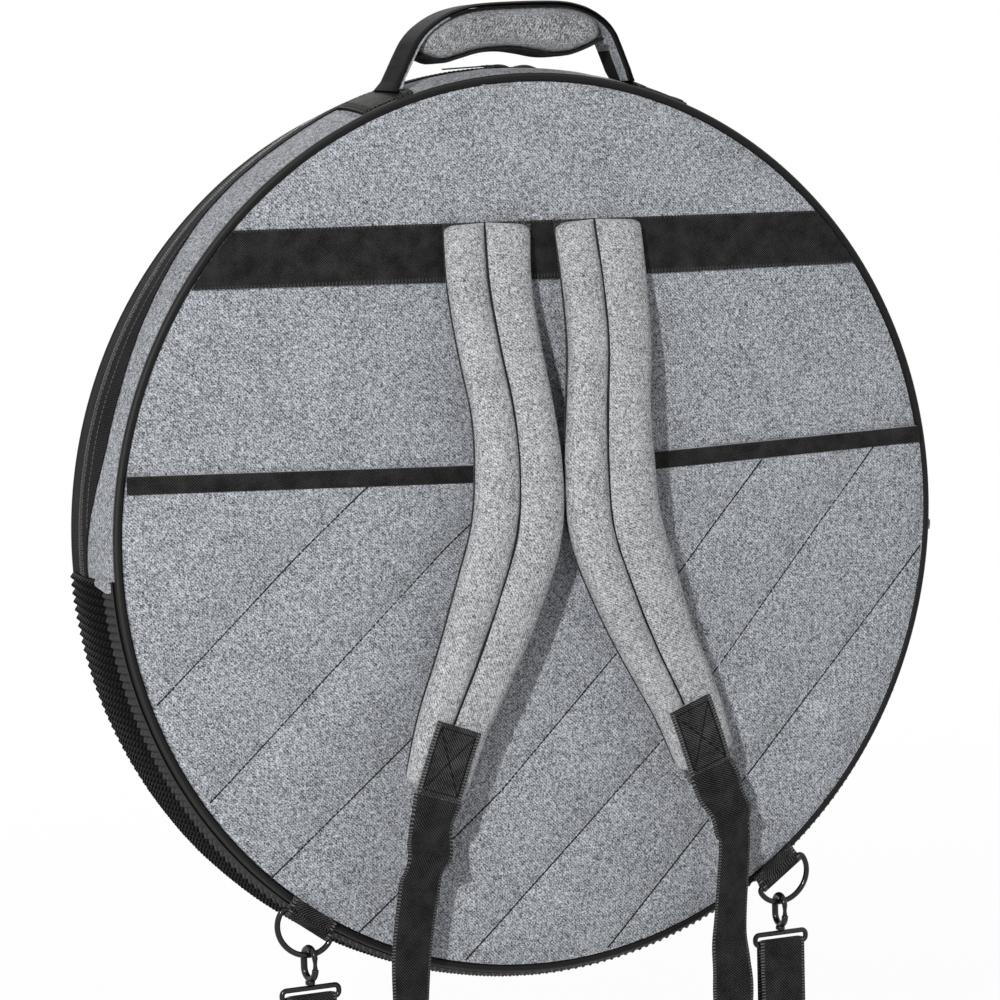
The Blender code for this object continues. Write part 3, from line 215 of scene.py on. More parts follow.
# Details that only the looks have
RIM_STEP_DEG = 0.75
WRINKLE = 0.0006                 # of the side wall's cloth
WRINKLE_SPAN = 0.045
PUFF = 0.0030                    # of the quilted pocket, between its stitched lines
PUFF_RISE = 0.011                # distance over which a puff rises
TUCK = 0.0022                    # depth by which cloth dips into a seam
TUCK_SPAN = 0.010
SAG = 0.0012                     # slow waves of the back cloth
SAG_SPAN = 0.14
THREAD = 0.00032                 # radius of sewing thread
STITCH = 0.0030
STITCH_GAP = 0.0009
STUD = 0.0053                    # pitch of the rubber's pyramids
STUD_BASE = 0.0009
STUD_TALL = 0.0026
STUD_TIP = 0.07                  # half of a pyramid's flat tip, as a share of the pitch
GLINT_ROWS = 2                    # of pyramids beside the back piping, painted lighter as a highlight where they catch the light
TOOTH_PITCH = 0.0016
TOOTH_SHARE = 0.34               # half a tooth's width, as a share of the pitch
TOOTH_SIZES = ((0.0, 0.55), (0.18, 1.0), (0.6, 0.92), (0.88, 1.12), (1.0, 0.7))
EDGE_COVER = 0.0015              # of the black cloth over the lining's near edge
COVER_FROM = -0.055
TAPE_BEYOND = 0.0012
MOUTH_SAG = 0.0088               # of the pocket's mouth, in its middle
MOUTH_REACH = 0.06
BAND_SAG = 0.0026
LEG_CLEAR = 0.0016               # above the patch, where the handle's leg is let in
LEG_SINK = 0.0045
FAR_BINDING_RISE = 0.0060
TOP_BULGE = 0.0010               # of the grey strip, between the handle's feet
BULGE_HALF_DEG = 17.5
BACKING_LEFT = 1.09
# Folds of the straps: distance below the tab, span, and depth towards the bag
FOLDS_LEFT = ((0.026, 0.008, 0.0020), (0.040, 0.009, -0.0032), (0.054, 0.008, 0.0014))
FOLDS_RIGHT = ((0.020, 0.008, 0.0016), (0.034, 0.009, -0.0026), (0.048, 0.008, 0.0016))
TONGUE = 0.008                   # of grey cloth, over the rubber's upper ends
TONGUE_UNDER_DEG = 0.3
TONGUE_ROWS = 14
FOLD = 0.012                     # half of the span about the flap's axis that is passed to bend()
WALL_BEND = 0.05                 # of the flap's side cloth
LEG_OVERLAP = 0.0010
LEG_SHARE = 0.94
SWELL_FRAMES = 20                # of the cloth simulation that swells the pads and the grip
SWELL_PRESSURE = 4.0
PAD_SWELL = 0.0022
GRIP_SWELL = 0.0012
PAD_TIP = 0.009                  # a pad's rounded lower end, behind its tab
PUCKER = 0.0006                  # of a pad's cloth: depth, span, and step across
PUCKER_SPAN = 0.012
PUCKER_ACROSS = 0.01
UNEVEN = 0.0007
UNEVEN_SPAN = 0.05
HELD_EDGE = 0.92                 # shares of a pad's half width that its seams hold
HELD_SEAM = 0.05
BACKING_SECTION = ((1, 0.0), (0.3, 0.0), (-0.3, 0.0), (-1, 0.0), (-1.0, 0.5), (-0.97, 1), (-0.3, 1.1),
                   (0.3, 1.1), (0.97, 1), (1.0, 0.5))
LEFT_FLARE = 0.08                # how far the pads' edges stand out, as shares of the half width
RIGHT_FLARE = 0.12
RIGHT_EASE = 0.04
RIGHT_NARROW = 0.12
FLARE_FROM = 0.5                 # shares of a pad's length
FLARE_SPAN = 0.3
GRIP_SIDES = 28
GRIP_HELD_END = 0.93             # shares of the grip that its seams hold
GRIP_HELD_SIDE = 0.7
BARREL_SHARES = ((0.0, 0.72), (0.08, 0.95), (0.25, 1.0), (0.7, 1.0), (0.85, 0.9), (1.0, 0.7), (1.5, 0.62))
GRIP_CREASE_SPAN = 0.02
PATCH_STEP_DEG = 0.5
SEAM_INSET = 0.0045              # of zigzag seams
ZIGZAG = 0.0022
RING_ZIGZAG = 0.0020
TAB_SEAM_INSET = 0.0035
TAB_OPEN = 0.55                  # radians between a ring tab's two runs, seen from its bar
EDGE_SOFT = 0.0003
EDGE_SHARP_DEG = 35.0
FLANGE_SEAM_Y = -0.0055
FLANGE_SEAM_STITCH = 0.0024

# Quilted lines of the pocket, as shares of the seam's radius
QUILT_SHARES = (
    ((-0.924, -0.319), (-0.469, 0.09)),
    ((-0.812, -0.54), (-0.173, 0.034)),
    ((-0.679, -0.72), (-0.229, -0.357)),
    ((-0.482, -0.866), (-0.124, -0.581), (0.183, -0.285), (0.353, -0.105), (0.54, 0.112)),
    ((-0.207, -0.941), (0.278, -0.509), (0.435, -0.343), (0.84, 0.122)),
    ((0.153, -0.947), (0.404, -0.693), (0.499, -0.608), (0.981, -0.102)),
)


# Lengths in the materials
FIBRE = 0.00046                  # of the melange cloth
CLOTH_TWILL = 0.0016
CLOTH_DEPTH = 0.0002
BLACK_TWILL = 0.0013
LINING_TWILL = 0.0009
BLACK_FUZZ = 0.0007
BLACK_SHADE = 0.03
WEB_TWILL = 0.0020
WEB_TICK = 0.0020                # of the light marks along the edges of webbing
WEB_TICK_WIDTH = 0.0026
WEB_DEPTH = 0.0003
FOOT_TWILL = 0.0034
BAND_TWILL = 0.0016
BAND_TICK = 0.0024
BAND_TICK_WIDTH = 0.0014
TAPE_TWILL = 0.0018
TAPE_TICK_WIDTH = 0.0005
CORD_RIB = 0.0014
CORD_FUZZ = 0.0009
CORD_DEPTH = 0.00015
CORD_HIGHLIGHT_TURN = 0.78 * pi     # a painted highlight: the lighter line along the outside of a cord, where light falls
CORD_HIGHLIGHT_LEVEL = 0.045
SMUDGE = 0.004                   # of nylon, thread and metal
RUBBER_SMUDGE = 0.02
GLINT_SMUDGE = 0.01
GRAIN_DEPTH = 0.00005
RUBBER_DEPTH = 0.00008
FLOOR_GRAIN = 0.3


# Materials

def add_node(tree, kind, inputs, output=0, **settings):
    """Adds a shader node, with its inputs linked or set, and gives one output."""
    node = tree.nodes.new("ShaderNode" + kind)
    for key, value in settings.items():
        setattr(node, key, value)
    for key, value in inputs.items():
        if isinstance(value, bpy.types.NodeSocket):
            tree.links.new(value, node.inputs[key])
        else:
            node.inputs[key].default_value = value
    return node.outputs[output]


class Finish:
    """A procedural material, built from short calls."""

    def __init__(self, name, roughness, **settings):
        self.material = bpy.data.materials.new(name)
        self.material.use_nodes = True
        self.tree = self.material.node_tree
        self.shader = self.tree.nodes["Principled BSDF"]
        for label, value in {"Roughness": roughness, **settings}.items():
            self.shader.inputs[label.replace("_", " ")].default_value = value

    def add(self, kind, inputs, output=0, **settings):
        return add_node(self.tree, kind, inputs, output, **settings)

    def math(self, operation, first, second=0.0, third=0.0):
        return self.add("Math", {0: first, 1: second, 2: third}, operation=operation)

    def place(self, kind):
        return self.add("TexCoord", {}, output=kind)

    def noise(self, spot, size, detail=2.0, rough=0.6):
        return self.add("TexNoise", {"Vector": spot, "Scale": 1.0 / size, "Detail": detail,
                                     "Roughness": rough})

    def wave(self, value, pitch):
        """A sine along a distance, from 0 to 1."""
        sine = self.math("SINE", self.math("MULTIPLY", value, 2.0 * pi / pitch))
        return self.math("MULTIPLY_ADD", sine, 0.5, 0.5)

    def stripes(self, spot, across, pitch):
        """A sine across a direction, from 0 to 1."""
        way = Vector(across).normalized() * (2.0 * pi / pitch)
        turn = self.add("VectorMath", {0: spot, 1: way}, output="Value", operation="DOT_PRODUCT")
        return self.math("MULTIPLY_ADD", self.math("SINE", turn), 0.5, 0.5)

    def split(self, spot):
        node = self.tree.nodes.new("ShaderNodeSeparateXYZ")
        self.tree.links.new(spot, node.inputs[0])
        return node.outputs

    def total(self, parts, start=0.5):
        """start + the sum of weight * (value - 0.5)."""
        value = start
        for weight, part in parts:
            value = self.math("MULTIPLY_ADD", self.math("SUBTRACT", part, 0.5), weight, value)
        return value

    def ramp(self, factor, stops):
        node = self.tree.nodes.new("ShaderNodeValToRGB")
        self.tree.links.new(factor, node.inputs[0])
        elements = node.color_ramp.elements
        while len(elements) < len(stops):
            elements.new(0.5)
        for element, (position, colour) in zip(elements, stops):
            element.position = position
            element.color = (*colour, 1.0)
        return node.outputs[0]

    def greys(self, factor, levels, blue=1.0, middle=0.5):
        """A ramp from dark over middle to light."""
        spots = (0.0, middle, 1.0)
        return self.ramp(factor, [(spot, grey(level, blue)) for spot, level in zip(spots, levels)])

    def mix(self, factor, first, second):
        return self.add("Mix", {0: factor, 6: first, 7: second}, output=2, data_type="RGBA")

    def colour(self, value):
        self.tree.links.new(value, self.shader.inputs["Base Color"])

    def roughness(self, value):
        self.tree.links.new(value, self.shader.inputs["Roughness"])

    def bump(self, height, depth, strength):
        value = self.add("Bump", {"Height": height, "Distance": depth, "Strength": strength})
        self.tree.links.new(value, self.shader.inputs["Normal"])


def grey(level, blue=1.0):
    return (level, level * (1.0 + 0.35 * (blue - 1.0)), level * blue)


def make_cloth(name, levels, blue):
    """Melange cloth: salt and pepper of single yarns, softer specks, a faint twill and slow shade."""
    f = Finish(name, 0.9, Sheen_Weight=0.05, Sheen_Roughness=0.5, Specular_IOR_Level=0.15)
    flat = f.place("UV")
    warp = f.add("VectorMath", {0: flat, 1: (FIBRE, FIBRE * 3.2, FIBRE)}, operation="SNAP")
    weft = f.add("VectorMath", {0: flat, 1: (FIBRE * 3.2, FIBRE, FIBRE)}, operation="SNAP")
    salt = f.add("TexWhiteNoise", {"Vector": warp})
    pepper = f.add("TexWhiteNoise", {"Vector": weft})
    speck = f.noise(flat, FIBRE * 0.4, 2.0, 0.7)
    patchy = f.noise(flat, FIBRE * 7.0, 3.0, 0.65)
    slow = f.noise(flat, FIBRE * 80.0, 3.0)
    diagonal = f.stripes(flat, (1.0, 1.0, 0.0), CLOTH_TWILL)
    mottle = f.total(((0.56, salt), (0.56, pepper), (0.8, speck), (0.40, patchy), (0.25, diagonal),
                      (0.22, slow)))
    f.colour(f.greys(mottle, levels, blue))
    f.bump(f.total(((0.8, speck), (0.3, salt), (0.3, pepper), (0.6, diagonal))), CLOTH_DEPTH, 0.6)
    return f.material


def make_webbing(name, width, pitch=WEB_TWILL, tick=WEB_TICK, tick_width=WEB_TICK_WIDTH, tick_level=0.20,
                 level=0.012, warm=1.0):
    """Black twill webbing with ticked edges. V runs across it, from its middle."""
    f = Finish(name, 0.7, Sheen_Weight=0.0, Specular_IOR_Level=0.07)
    spot = f.place("UV")
    along, across, _ = f.split(spot)
    ribs = f.wave(f.math("ADD", along, across), pitch)
    yarn = f.wave(across, 0.4 * pitch)
    fuzz = f.noise(spot, pitch * 0.4, 3.0, 0.8)
    slow = f.noise(spot, pitch * 8.0, 2.0)
    edge = f.math("GREATER_THAN", f.math("ABSOLUTE", across), 0.5 * width - tick_width)
    waver = f.math("MULTIPLY", f.noise(spot, tick * 3.0, 1.0), 5.0)
    ticks = f.math("SINE", f.math("ADD", f.math("MULTIPLY", along, 2.0 * pi / tick), waver))
    ticks = f.math("MULTIPLY", f.math("MAXIMUM", ticks, 0.0), f.math("ADD", fuzz, 0.3))
    tone = f.total(((1.0, ribs), (3.0, fuzz), (1.2, slow)), 0.45)
    base = f.greys(tone, (level * 0.25, level, level * 4.5), warm, 0.55)
    f.colour(f.mix(f.math("MULTIPLY", edge, ticks), base, (*grey(tick_level), 1.0)))
    f.bump(f.total(((0.8, ribs), (0.5, yarn), (0.6, fuzz))), WEB_DEPTH, 0.8)
    return f.material


def make_black_cloth(name, level=0.012, twill=BLACK_TWILL):
    f = Finish(name, 0.8, Sheen_Weight=0.0, Specular_IOR_Level=0.06)
    spot = f.place("UV")
    fuzz = f.noise(spot, BLACK_FUZZ, 3.0, 0.8)
    slow = f.noise(spot, BLACK_SHADE, 3.0)
    diagonal = f.stripes(spot, (1.0, 0.7, 0.0), twill)
    tone = f.total(((2.4, fuzz), (0.6, diagonal), (0.6, slow)))
    f.colour(f.greys(tone, (level * 0.3, level, level * 3.2)))
    f.bump(f.total(((0.8, fuzz), (0.7, diagonal))), CLOTH_DEPTH, 0.6)
    return f.material


def make_cord_cover(name, level=0.010):
    """The tight cover of a piping cord: fine ribs round it, a slight shine, and a painted highlight line along
    its outside.
    """
    f = Finish(name, 0.5, Sheen_Weight=0.0, Specular_IOR_Level=0.10)
    spot = f.place("UV")
    along, around, _ = f.split(spot)
    # painted highlight: a lighter line at a fixed turn round the cord
    turn = f.math("SUBTRACT", f.math("DIVIDE", around, PIPING_WIRE), CORD_HIGHLIGHT_TURN)
    highlight = f.math("POWER", f.math("MAXIMUM", f.math("COSINE", turn), 0.0), 16.0)
    ribs = f.wave(f.math("ADD", along, f.math("MULTIPLY", around, 0.6)), CORD_RIB)
    fuzz = f.noise(spot, CORD_FUZZ, 2.0, 0.7)
    tone = f.total(((0.5, ribs), (1.6, fuzz)))
    base = f.greys(tone, (level * 0.4, level, level * 2.2))
    # the painted highlight is mixed into the colour
    f.colour(f.mix(f.math("MULTIPLY", highlight, 0.55), base, (*grey(CORD_HIGHLIGHT_LEVEL, 0.9), 1.0)))
    f.bump(tone, CORD_DEPTH, 0.5)
    return f.material


def make_plain(name, level, roughness, wear=0.0, size=SMUDGE, depth=GRAIN_DEPTH, specular=0.2):
    """Rubber, nylon, thread or coated metal: slow smudges, fine grain and a little wear."""
    f = Finish(name, roughness, Specular_IOR_Level=specular)
    spot = f.place("Object")
    slow = f.noise(spot, size, 3.0)
    grain = f.noise(spot, size * 0.08, 2.0)
    tone = f.total(((1.2, slow), (0.8, grain)))
    f.colour(f.greys(tone, (level * 0.6, level, level * (1.5 + wear)), middle=0.6))
    f.roughness(f.math("MULTIPLY_ADD", f.math("SUBTRACT", slow, 0.5), 0.25, roughness))
    f.bump(grain, depth, 0.4)
    return f.material


HEATHER = make_cloth("heather", (0.03, 0.270, 0.62), 1.13)
HEATHER_SIDE = make_cloth("heather_side", (0.04, 0.27, 0.60), 1.12)
PAD_HEATHER = make_cloth("pad_heather", (0.06, 0.335, 0.66), 1.05)
GRIP_HEATHER = make_cloth("grip_heather", (0.04, 0.20, 0.50), 1.06)
BLACK_CLOTH = make_black_cloth("black_cloth")
BACKING_CLOTH = make_cloth("backing_cloth", (0.004, 0.030, 0.13), 1.0)
LINING = make_black_cloth("black_lining", 0.025, LINING_TWILL)
CORD = make_cord_cover("piping_cover")
WEB_HANDLE = make_webbing("webbing_handle", HANDLE_WEB_WIDTH, tick_level=0.012, level=0.003)
WEB_FOOT = make_webbing("webbing_foot", PATCH_WIDTH, FOOT_TWILL, tick_level=0.08, level=0.010, warm=0.75)
WEB_STRAP = make_webbing("webbing_strap", STRAP_WIDTH)
WEB_TAB = make_webbing("webbing_tab", TAB_WIDTH, level=0.020)
WEB_RING = make_webbing("webbing_ring_tab", RING_TAB_WIDTH, level=0.014)
WEB_BAND = make_webbing("webbing_band", BAND_WIDTH, BAND_TWILL, BAND_TICK, BAND_TICK_WIDTH, 0.07)
WEB_TAPE = make_webbing("webbing_tape", TAPE_WIDTH, TAPE_TWILL, WEB_TICK, TAPE_TICK_WIDTH, 0.05)
RUBBER = make_plain("rubber", 0.0035, 0.42, size=RUBBER_SMUDGE, depth=RUBBER_DEPTH, specular=0.035)
# Rubber with painted highlight: a lighter base colour for the pyramid rows that glint beside the back piping;
# its stronger specular is real
GLINT_RUBBER = make_plain("rubber_painted_glint", 0.028, 0.5, size=GLINT_SMUDGE, depth=RUBBER_DEPTH, specular=0.25)
NYLON = make_plain("nylon", 0.022, 0.35, specular=0.4)
METAL = make_plain("black_metal_coat", 0.006, 0.14, wear=0.4, specular=0.35)
SEWING = make_plain("sewing_thread", 0.004, 0.7, specular=0.1)
DARK_SEWING = make_plain("quilting_thread", 0.014, 0.7, specular=0.1)
PALE_SEWING = make_plain("pale_thread", 0.075, 0.65)


# Building helpers

def rim_point(radius, angle_deg, y):
    """A point on the rim, with the angle measured from the top towards +X."""
    angle = radians(angle_deg)
    return Vector((radius * sin(angle), y, radius * cos(angle)))


def wall_radius(y):
    return SEAM_RADIUS + CROWN * (1.0 - (y / FRONT_Y) ** 2)


def spaced(start, end, count):
    return [start + (end - start) * i / count for i in range(count + 1)]


def smooth_points(points, steps):
    rows = [Vector(point) for point in points]
    padded = [rows[0] * 2.0 - rows[1], *rows, rows[-1] * 2.0 - rows[-2]]
    result = []
    for before, start, end, after in zip(padded, padded[1:], padded[2:], padded[3:]):
        for step in range(steps):
            t = step / steps
            result.append(0.5 * (2.0 * start + (end - before) * t
                                 + (2.0 * before - 5.0 * start + 4.0 * end - after) * t ** 2
                                 + (3.0 * start - before - 3.0 * end + after) * t ** 3))
    return result + [rows[-1]]


def tangents(points):
    ends = zip([points[0], *points[:-1]], [*points[1:], points[-1]])
    return [(after - before).normalized() for before, after in ends]


def lengths(points):
    total, result = 0.0, [0.0]
    for before, after in zip(points, points[1:]):
        total += (after - before).length
        result.append(total)
    return result


def soft_noise(point, span, seed=0.0):
    return noise.noise(Vector(point) / span + Vector((seed, seed * 0.7, -seed)))


def start_tool():
    tool = bmesh.new()
    tool.loops.layers.uv.new("UVMap")
    return tool


def add_loft(tool, rings, along=None, across=None, closed=False):
    """Adds a skin through closed rings. UVs are metres along and across, or the plain X and Z."""
    layer = tool.loops.layers.uv.active
    rows = [[tool.verts.new(point) for point in ring] for ring in rings]
    count = len(rows[0])
    for i in range(len(rows) if closed else len(rows) - 1):
        following = rows[(i + 1) % len(rows)]
        for j in range(count):
            k = (j + 1) % count
            face = tool.faces.new((rows[i][j], rows[i][k], following[k], following[j]))
            face.smooth = True
            for loop, (a, b) in zip(face.loops, ((i, j), (i, j + 1), (i + 1, j + 1), (i + 1, j))):
                if along is None:
                    loop[layer].uv = (loop.vert.co.x, loop.vert.co.z)
                else:
                    loop[layer].uv = (along[a], across[b])
    if not closed:
        for row in (rows[0], rows[-1]):
            tool.faces.new(row)
    return tool


def finish_piece(name, tool, materials, body=None, stands_for=(), sharp_deg=50.0):
    """Turns a bmesh into a piece of the bag, in the model's frame."""
    bmesh.ops.recalc_face_normals(tool, faces=tool.faces)
    mesh = bpy.data.meshes.new(name)
    tool.to_mesh(mesh)
    tool.free()
    for material in materials if isinstance(materials, (list, tuple)) else [materials]:
        mesh.materials.append(material)
    mesh.shade_smooth()
    mesh.set_sharp_from_angle(angle=radians(sharp_deg))
    mesh.transform(Matrix.Translation(MIDDLE))
    piece = bpy.data.objects.new(name, mesh)
    bpy.context.scene.collection.objects.link(piece)
    if body:
        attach(piece, body)
    if stands_for:
        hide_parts(*stands_for)
    return piece


def bend(piece, first, second, start, end):
    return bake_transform(piece, first, second, start=MIDDLE + Vector(start), end=MIDDLE + Vector(end))


def turning_frames(points, closed=False):
    """Two directions across a path that turn as little as they can."""
    ways = tangents(points)
    if closed:
        ends = zip([points[-1], *points[:-1]], [*points[1:], points[0]])
        ways = [(after - before).normalized() for before, after in ends]
    side = ways[0].orthogonal().normalized()
    if abs(ways[0].y) < 0.9:
        side = Vector((0.0, 1.0, 0.0)) - ways[0] * ways[0].y
        side.normalize()
    result = []
    for way in ways:
        side = (side - way * side.dot(way)).normalized()
        result.append((side, way.cross(side)))
    return result


def add_tube(tool, points, radius, sides=8, closed=False):
    """Adds a round wire or cord. The radius is one value or one for each point."""
    points = [Vector(point) for point in points]
    radii = list(radius) if isinstance(radius, (list, tuple)) else [radius] * len(points)
    if not closed:
        ways = tangents(points)
        points = [points[0] - ways[0] * radii[0] * 0.35, *points, points[-1] + ways[-1] * radii[-1] * 0.35]
        radii = [radii[0] * 0.6, *radii, radii[-1] * 0.6]
    rings = []
    for point, size, (side, other) in zip(points, radii, turning_frames(points, closed)):
        rings.append([point + side * (size * cos(2.0 * pi * k / sides))
                      + other * (size * sin(2.0 * pi * k / sides)) for k in range(sides)])
    along = lengths(points + ([points[0]] if closed else []))
    across = [2.0 * pi * radii[len(radii) // 2] * k / sides for k in range(sides + 1)]
    return add_loft(tool, rings, along, across, closed)


def webbing_ring(centre, side, out, width, thickness, columns=10, camber=0.0):
    """One section of flat webbing with rounded edges, and its distances across."""
    ring, across = [], []
    for way, sink in ((1.0, 0.0), (-1.0, 0.02)):
        for k in range(columns + 1):
            share = way * (2.0 * k / columns - 1.0)
            swell = sqrt(max(0.0, 1.0 - abs(share) ** 9))
            ring.append(centre + side * (0.5 * width * share)
                        + out * (thickness * (camber * (1.0 - share * share) + way * 0.5 * swell - sink)))
            across.append(0.5 * width * share)
    return ring, across + [across[0]]


def add_ribbon(tool, centres, sideways, width, thickness, columns=10, start=0.0):
    """Adds flat webbing along centres, with its width along the sideways directions."""
    rings = []
    across = None
    for centre, along, side in zip(centres, tangents(centres), sideways):
        side = (side - along * side.dot(along)).normalized()
        ring, across = webbing_ring(centre, side, side.cross(along), width, thickness, columns)
        rings.append(ring)
    return add_loft(tool, rings, [start + value for value in lengths(centres)], across)


def add_stitches(tool, points, radius=THREAD, stitch=STITCH, space=STITCH_GAP):
    """Adds a row of single stitches along a path."""
    points = [Vector(point) for point in points]
    marks = lengths(points)
    period = stitch + space

    def spot(distance):
        for i in range(len(marks) - 1):
            if marks[i] <= distance <= marks[i + 1] and marks[i + 1] > marks[i]:
                return points[i].lerp(points[i + 1], (distance - marks[i]) / (marks[i + 1] - marks[i]))
        return points[-1]

    for index in range(int(marks[-1] / period)):
        start = index * period + 0.5 * space
        add_tube(tool, [spot(start), spot(start + 0.5 * stitch), spot(start + stitch)],
                 [radius * 0.7, radius, radius * 0.7], 6)


def rim_rings(profile_of, angles):
    """Closed rings of (radius, y) pairs, carried round the rim."""
    return [[rim_point(radius, angle, y) for radius, y in profile_of(angle)] for angle in angles]


def rim_length(angles):
    return [radians(angle) * SEAM_RADIUS for angle in angles]


def degrees_of(length):
    return degrees(length / SEAM_RADIUS)


def wall_wrinkle(angle_deg, y):
    """Small unevenness of the side wall's cloth, none at its seams."""
    fade = 1.0 - (abs(y) / FRONT_Y) ** 4
    slow = soft_noise(rim_point(SEAM_RADIUS, angle_deg, y), WRINKLE_SPAN, 3.1)
    fine = soft_noise(rim_point(SEAM_RADIUS, angle_deg * 1.6, y), WRINKLE_SPAN * 0.4, 7.7)
    return WRINKLE * fade * (slow + 0.45 * fine)


def outside_at(angle_deg, y):
    strip = min(1.0, max(0.0, (y + WALL_EDGE_Y) / (flange_edge(angle_deg) + WALL_EDGE_Y)))
    near_top = rise(BULGE_HALF_DEG - abs(angle_deg), 1.5)
    return wall_radius(y) + wall_wrinkle(angle_deg, y) + TOP_BULGE * near_top * sin(pi * strip)


def add_wall(tool, angles, y_from, y_to, columns, lift_low, lift_high):
    """A layer over the side wall, between two lifts, with depths that may follow the angle."""
    low_y = y_from if callable(y_from) else lambda angle: y_from
    high_y = y_to if callable(y_to) else lambda angle: y_to

    def profile(angle):
        depths = spaced(low_y(angle), high_y(angle), columns)
        outer = [(outside_at(angle, y) + lift_high, y) for y in depths]
        if lift_low is None:
            return outer + [(WALL_INSIDE, depths[-1]), (WALL_INSIDE, depths[0])]
        return outer + [(outside_at(angle, y) + lift_low, y) for y in reversed(depths)]

    rings = rim_rings(profile, angles)
    depths = spaced(low_y(angles[0]), high_y(angles[0]), columns)
    count = len(rings[0])
    across = (depths + list(reversed(depths)) + depths)[:count] + [depths[0]]
    return add_loft(tool, rings, rim_length(angles), across)


def arc(start_deg, end_deg, step_deg=RIM_STEP_DEG):
    count = max(1, int(ceil((end_deg - start_deg) / step_deg)))
    return spaced(start_deg, end_deg, count)


TRIM_DEG = degrees_of(GAP)
UPPER = arc(TRIM_DEG - ZIP_HALF_DEG, ZIP_HALF_DEG - TRIM_DEG)
LOWER = arc(ZIP_HALF_DEG + TRIM_DEG, TURN - ZIP_HALF_DEG - TRIM_DEG)


# Back, pocket and band

MOUTH_HALF = sqrt(PANEL_RADIUS ** 2 - POCKET_TOP ** 2)
QUILT = [[(x * SEAM_RADIUS, z * SEAM_RADIUS) for x, z in line] for line in QUILT_SHARES]


def distance_to_line(x, z, line):
    best = 1.0
    for (ax, az), (bx, bz) in zip(line, line[1:]):
        dx, dz = bx - ax, bz - az
        t = ((x - ax) * dx + (z - az) * dz) / (dx * dx + dz * dz)
        if line[0] == (ax, az):
            t = max(t, -1.0)
        else:
            t = max(t, 0.0)
        t = min(t, 2.0 if line[-1] == (bx, bz) else 1.0)
        best = min(best, hypot(x - ax - t * dx, z - az - t * dz))
    return best


def rise(distance, span):
    """0 at a seam, 1 well away from it."""
    return 1.0 - exp(-max(distance, 0.0) / span)


def back_height(x, z):
    """How far the back cloth stands out of its flat place."""
    rim = rise(PANEL_RADIUS - hypot(x, z), TUCK_SPAN)
    wave = soft_noise((x, 0.0, z), SAG_SPAN, 1.3) + 0.35 * soft_noise((x, 0.0, z), SAG_SPAN * 0.3, 4.2)
    return TUCK * (rim - 1.0) * 0.5 + SAG * rim * (0.35 + wave) * 0.5


def pocket_height(x, z):
    """The same for the quilted pocket: puffs between the stitched lines."""
    near = min(distance_to_line(x, z, line) for line in QUILT)
    rim = rise(PANEL_RADIUS - hypot(x, z), TUCK_SPAN)
    mouth = rise(POCKET_TOP - 0.95 * TAPE_WIDTH - z, TUCK_SPAN * 0.8)
    puff = rise(near, PUFF_RISE)
    wave = 1.0 + 0.5 * soft_noise((x, 0.0, z), SAG_SPAN * 0.4, 2.6)
    return PUFF * puff * rim * mouth * wave - 0.6 * TUCK * (1.0 - rim) * 0.6


def droop(x, half, depth):
    """How far an edge sewn at its two ends hangs down, x from the middle."""
    return depth * max(0.0, 1.0 - sqrt((x / half) ** 2 + 0.01))


def mouth_sag(x, z):
    """The pocket's mouth hangs in the middle, and takes the cloth under it along."""
    share = min(1.0, max(0.0, 1.0 - (POCKET_TOP - z) / MOUTH_REACH))
    return droop(x, MOUTH_HALF, MOUTH_SAG) * share


def add_slab(tool, low, high, rows, columns, face_y, thickness, height, way=-1.0, fine=False):
    """A plate of the round outline between two heights, with a shaped outer face."""
    radius = PANEL_RADIUS
    first = acos(max(-1.0, min(1.0, high / radius)))
    last = acos(max(-1.0, min(1.0, low / radius)))
    rings = []
    for angle in spaced(first, last, rows):
        z = radius * cos(angle)
        half = max(radius * sin(angle), radius * 0.004)
        xs = [half * share for share in spaced(-1.0, 1.0, columns)]
        outer = [Vector((x, face_y + way * height(x, z), z)) for x in xs]
        inner = xs[::-1] if fine else (xs[-1], 0.0, xs[0])
        rings.append(outer + [Vector((x, face_y - way * thickness, z)) for x in inner])
    return add_loft(tool, rings)


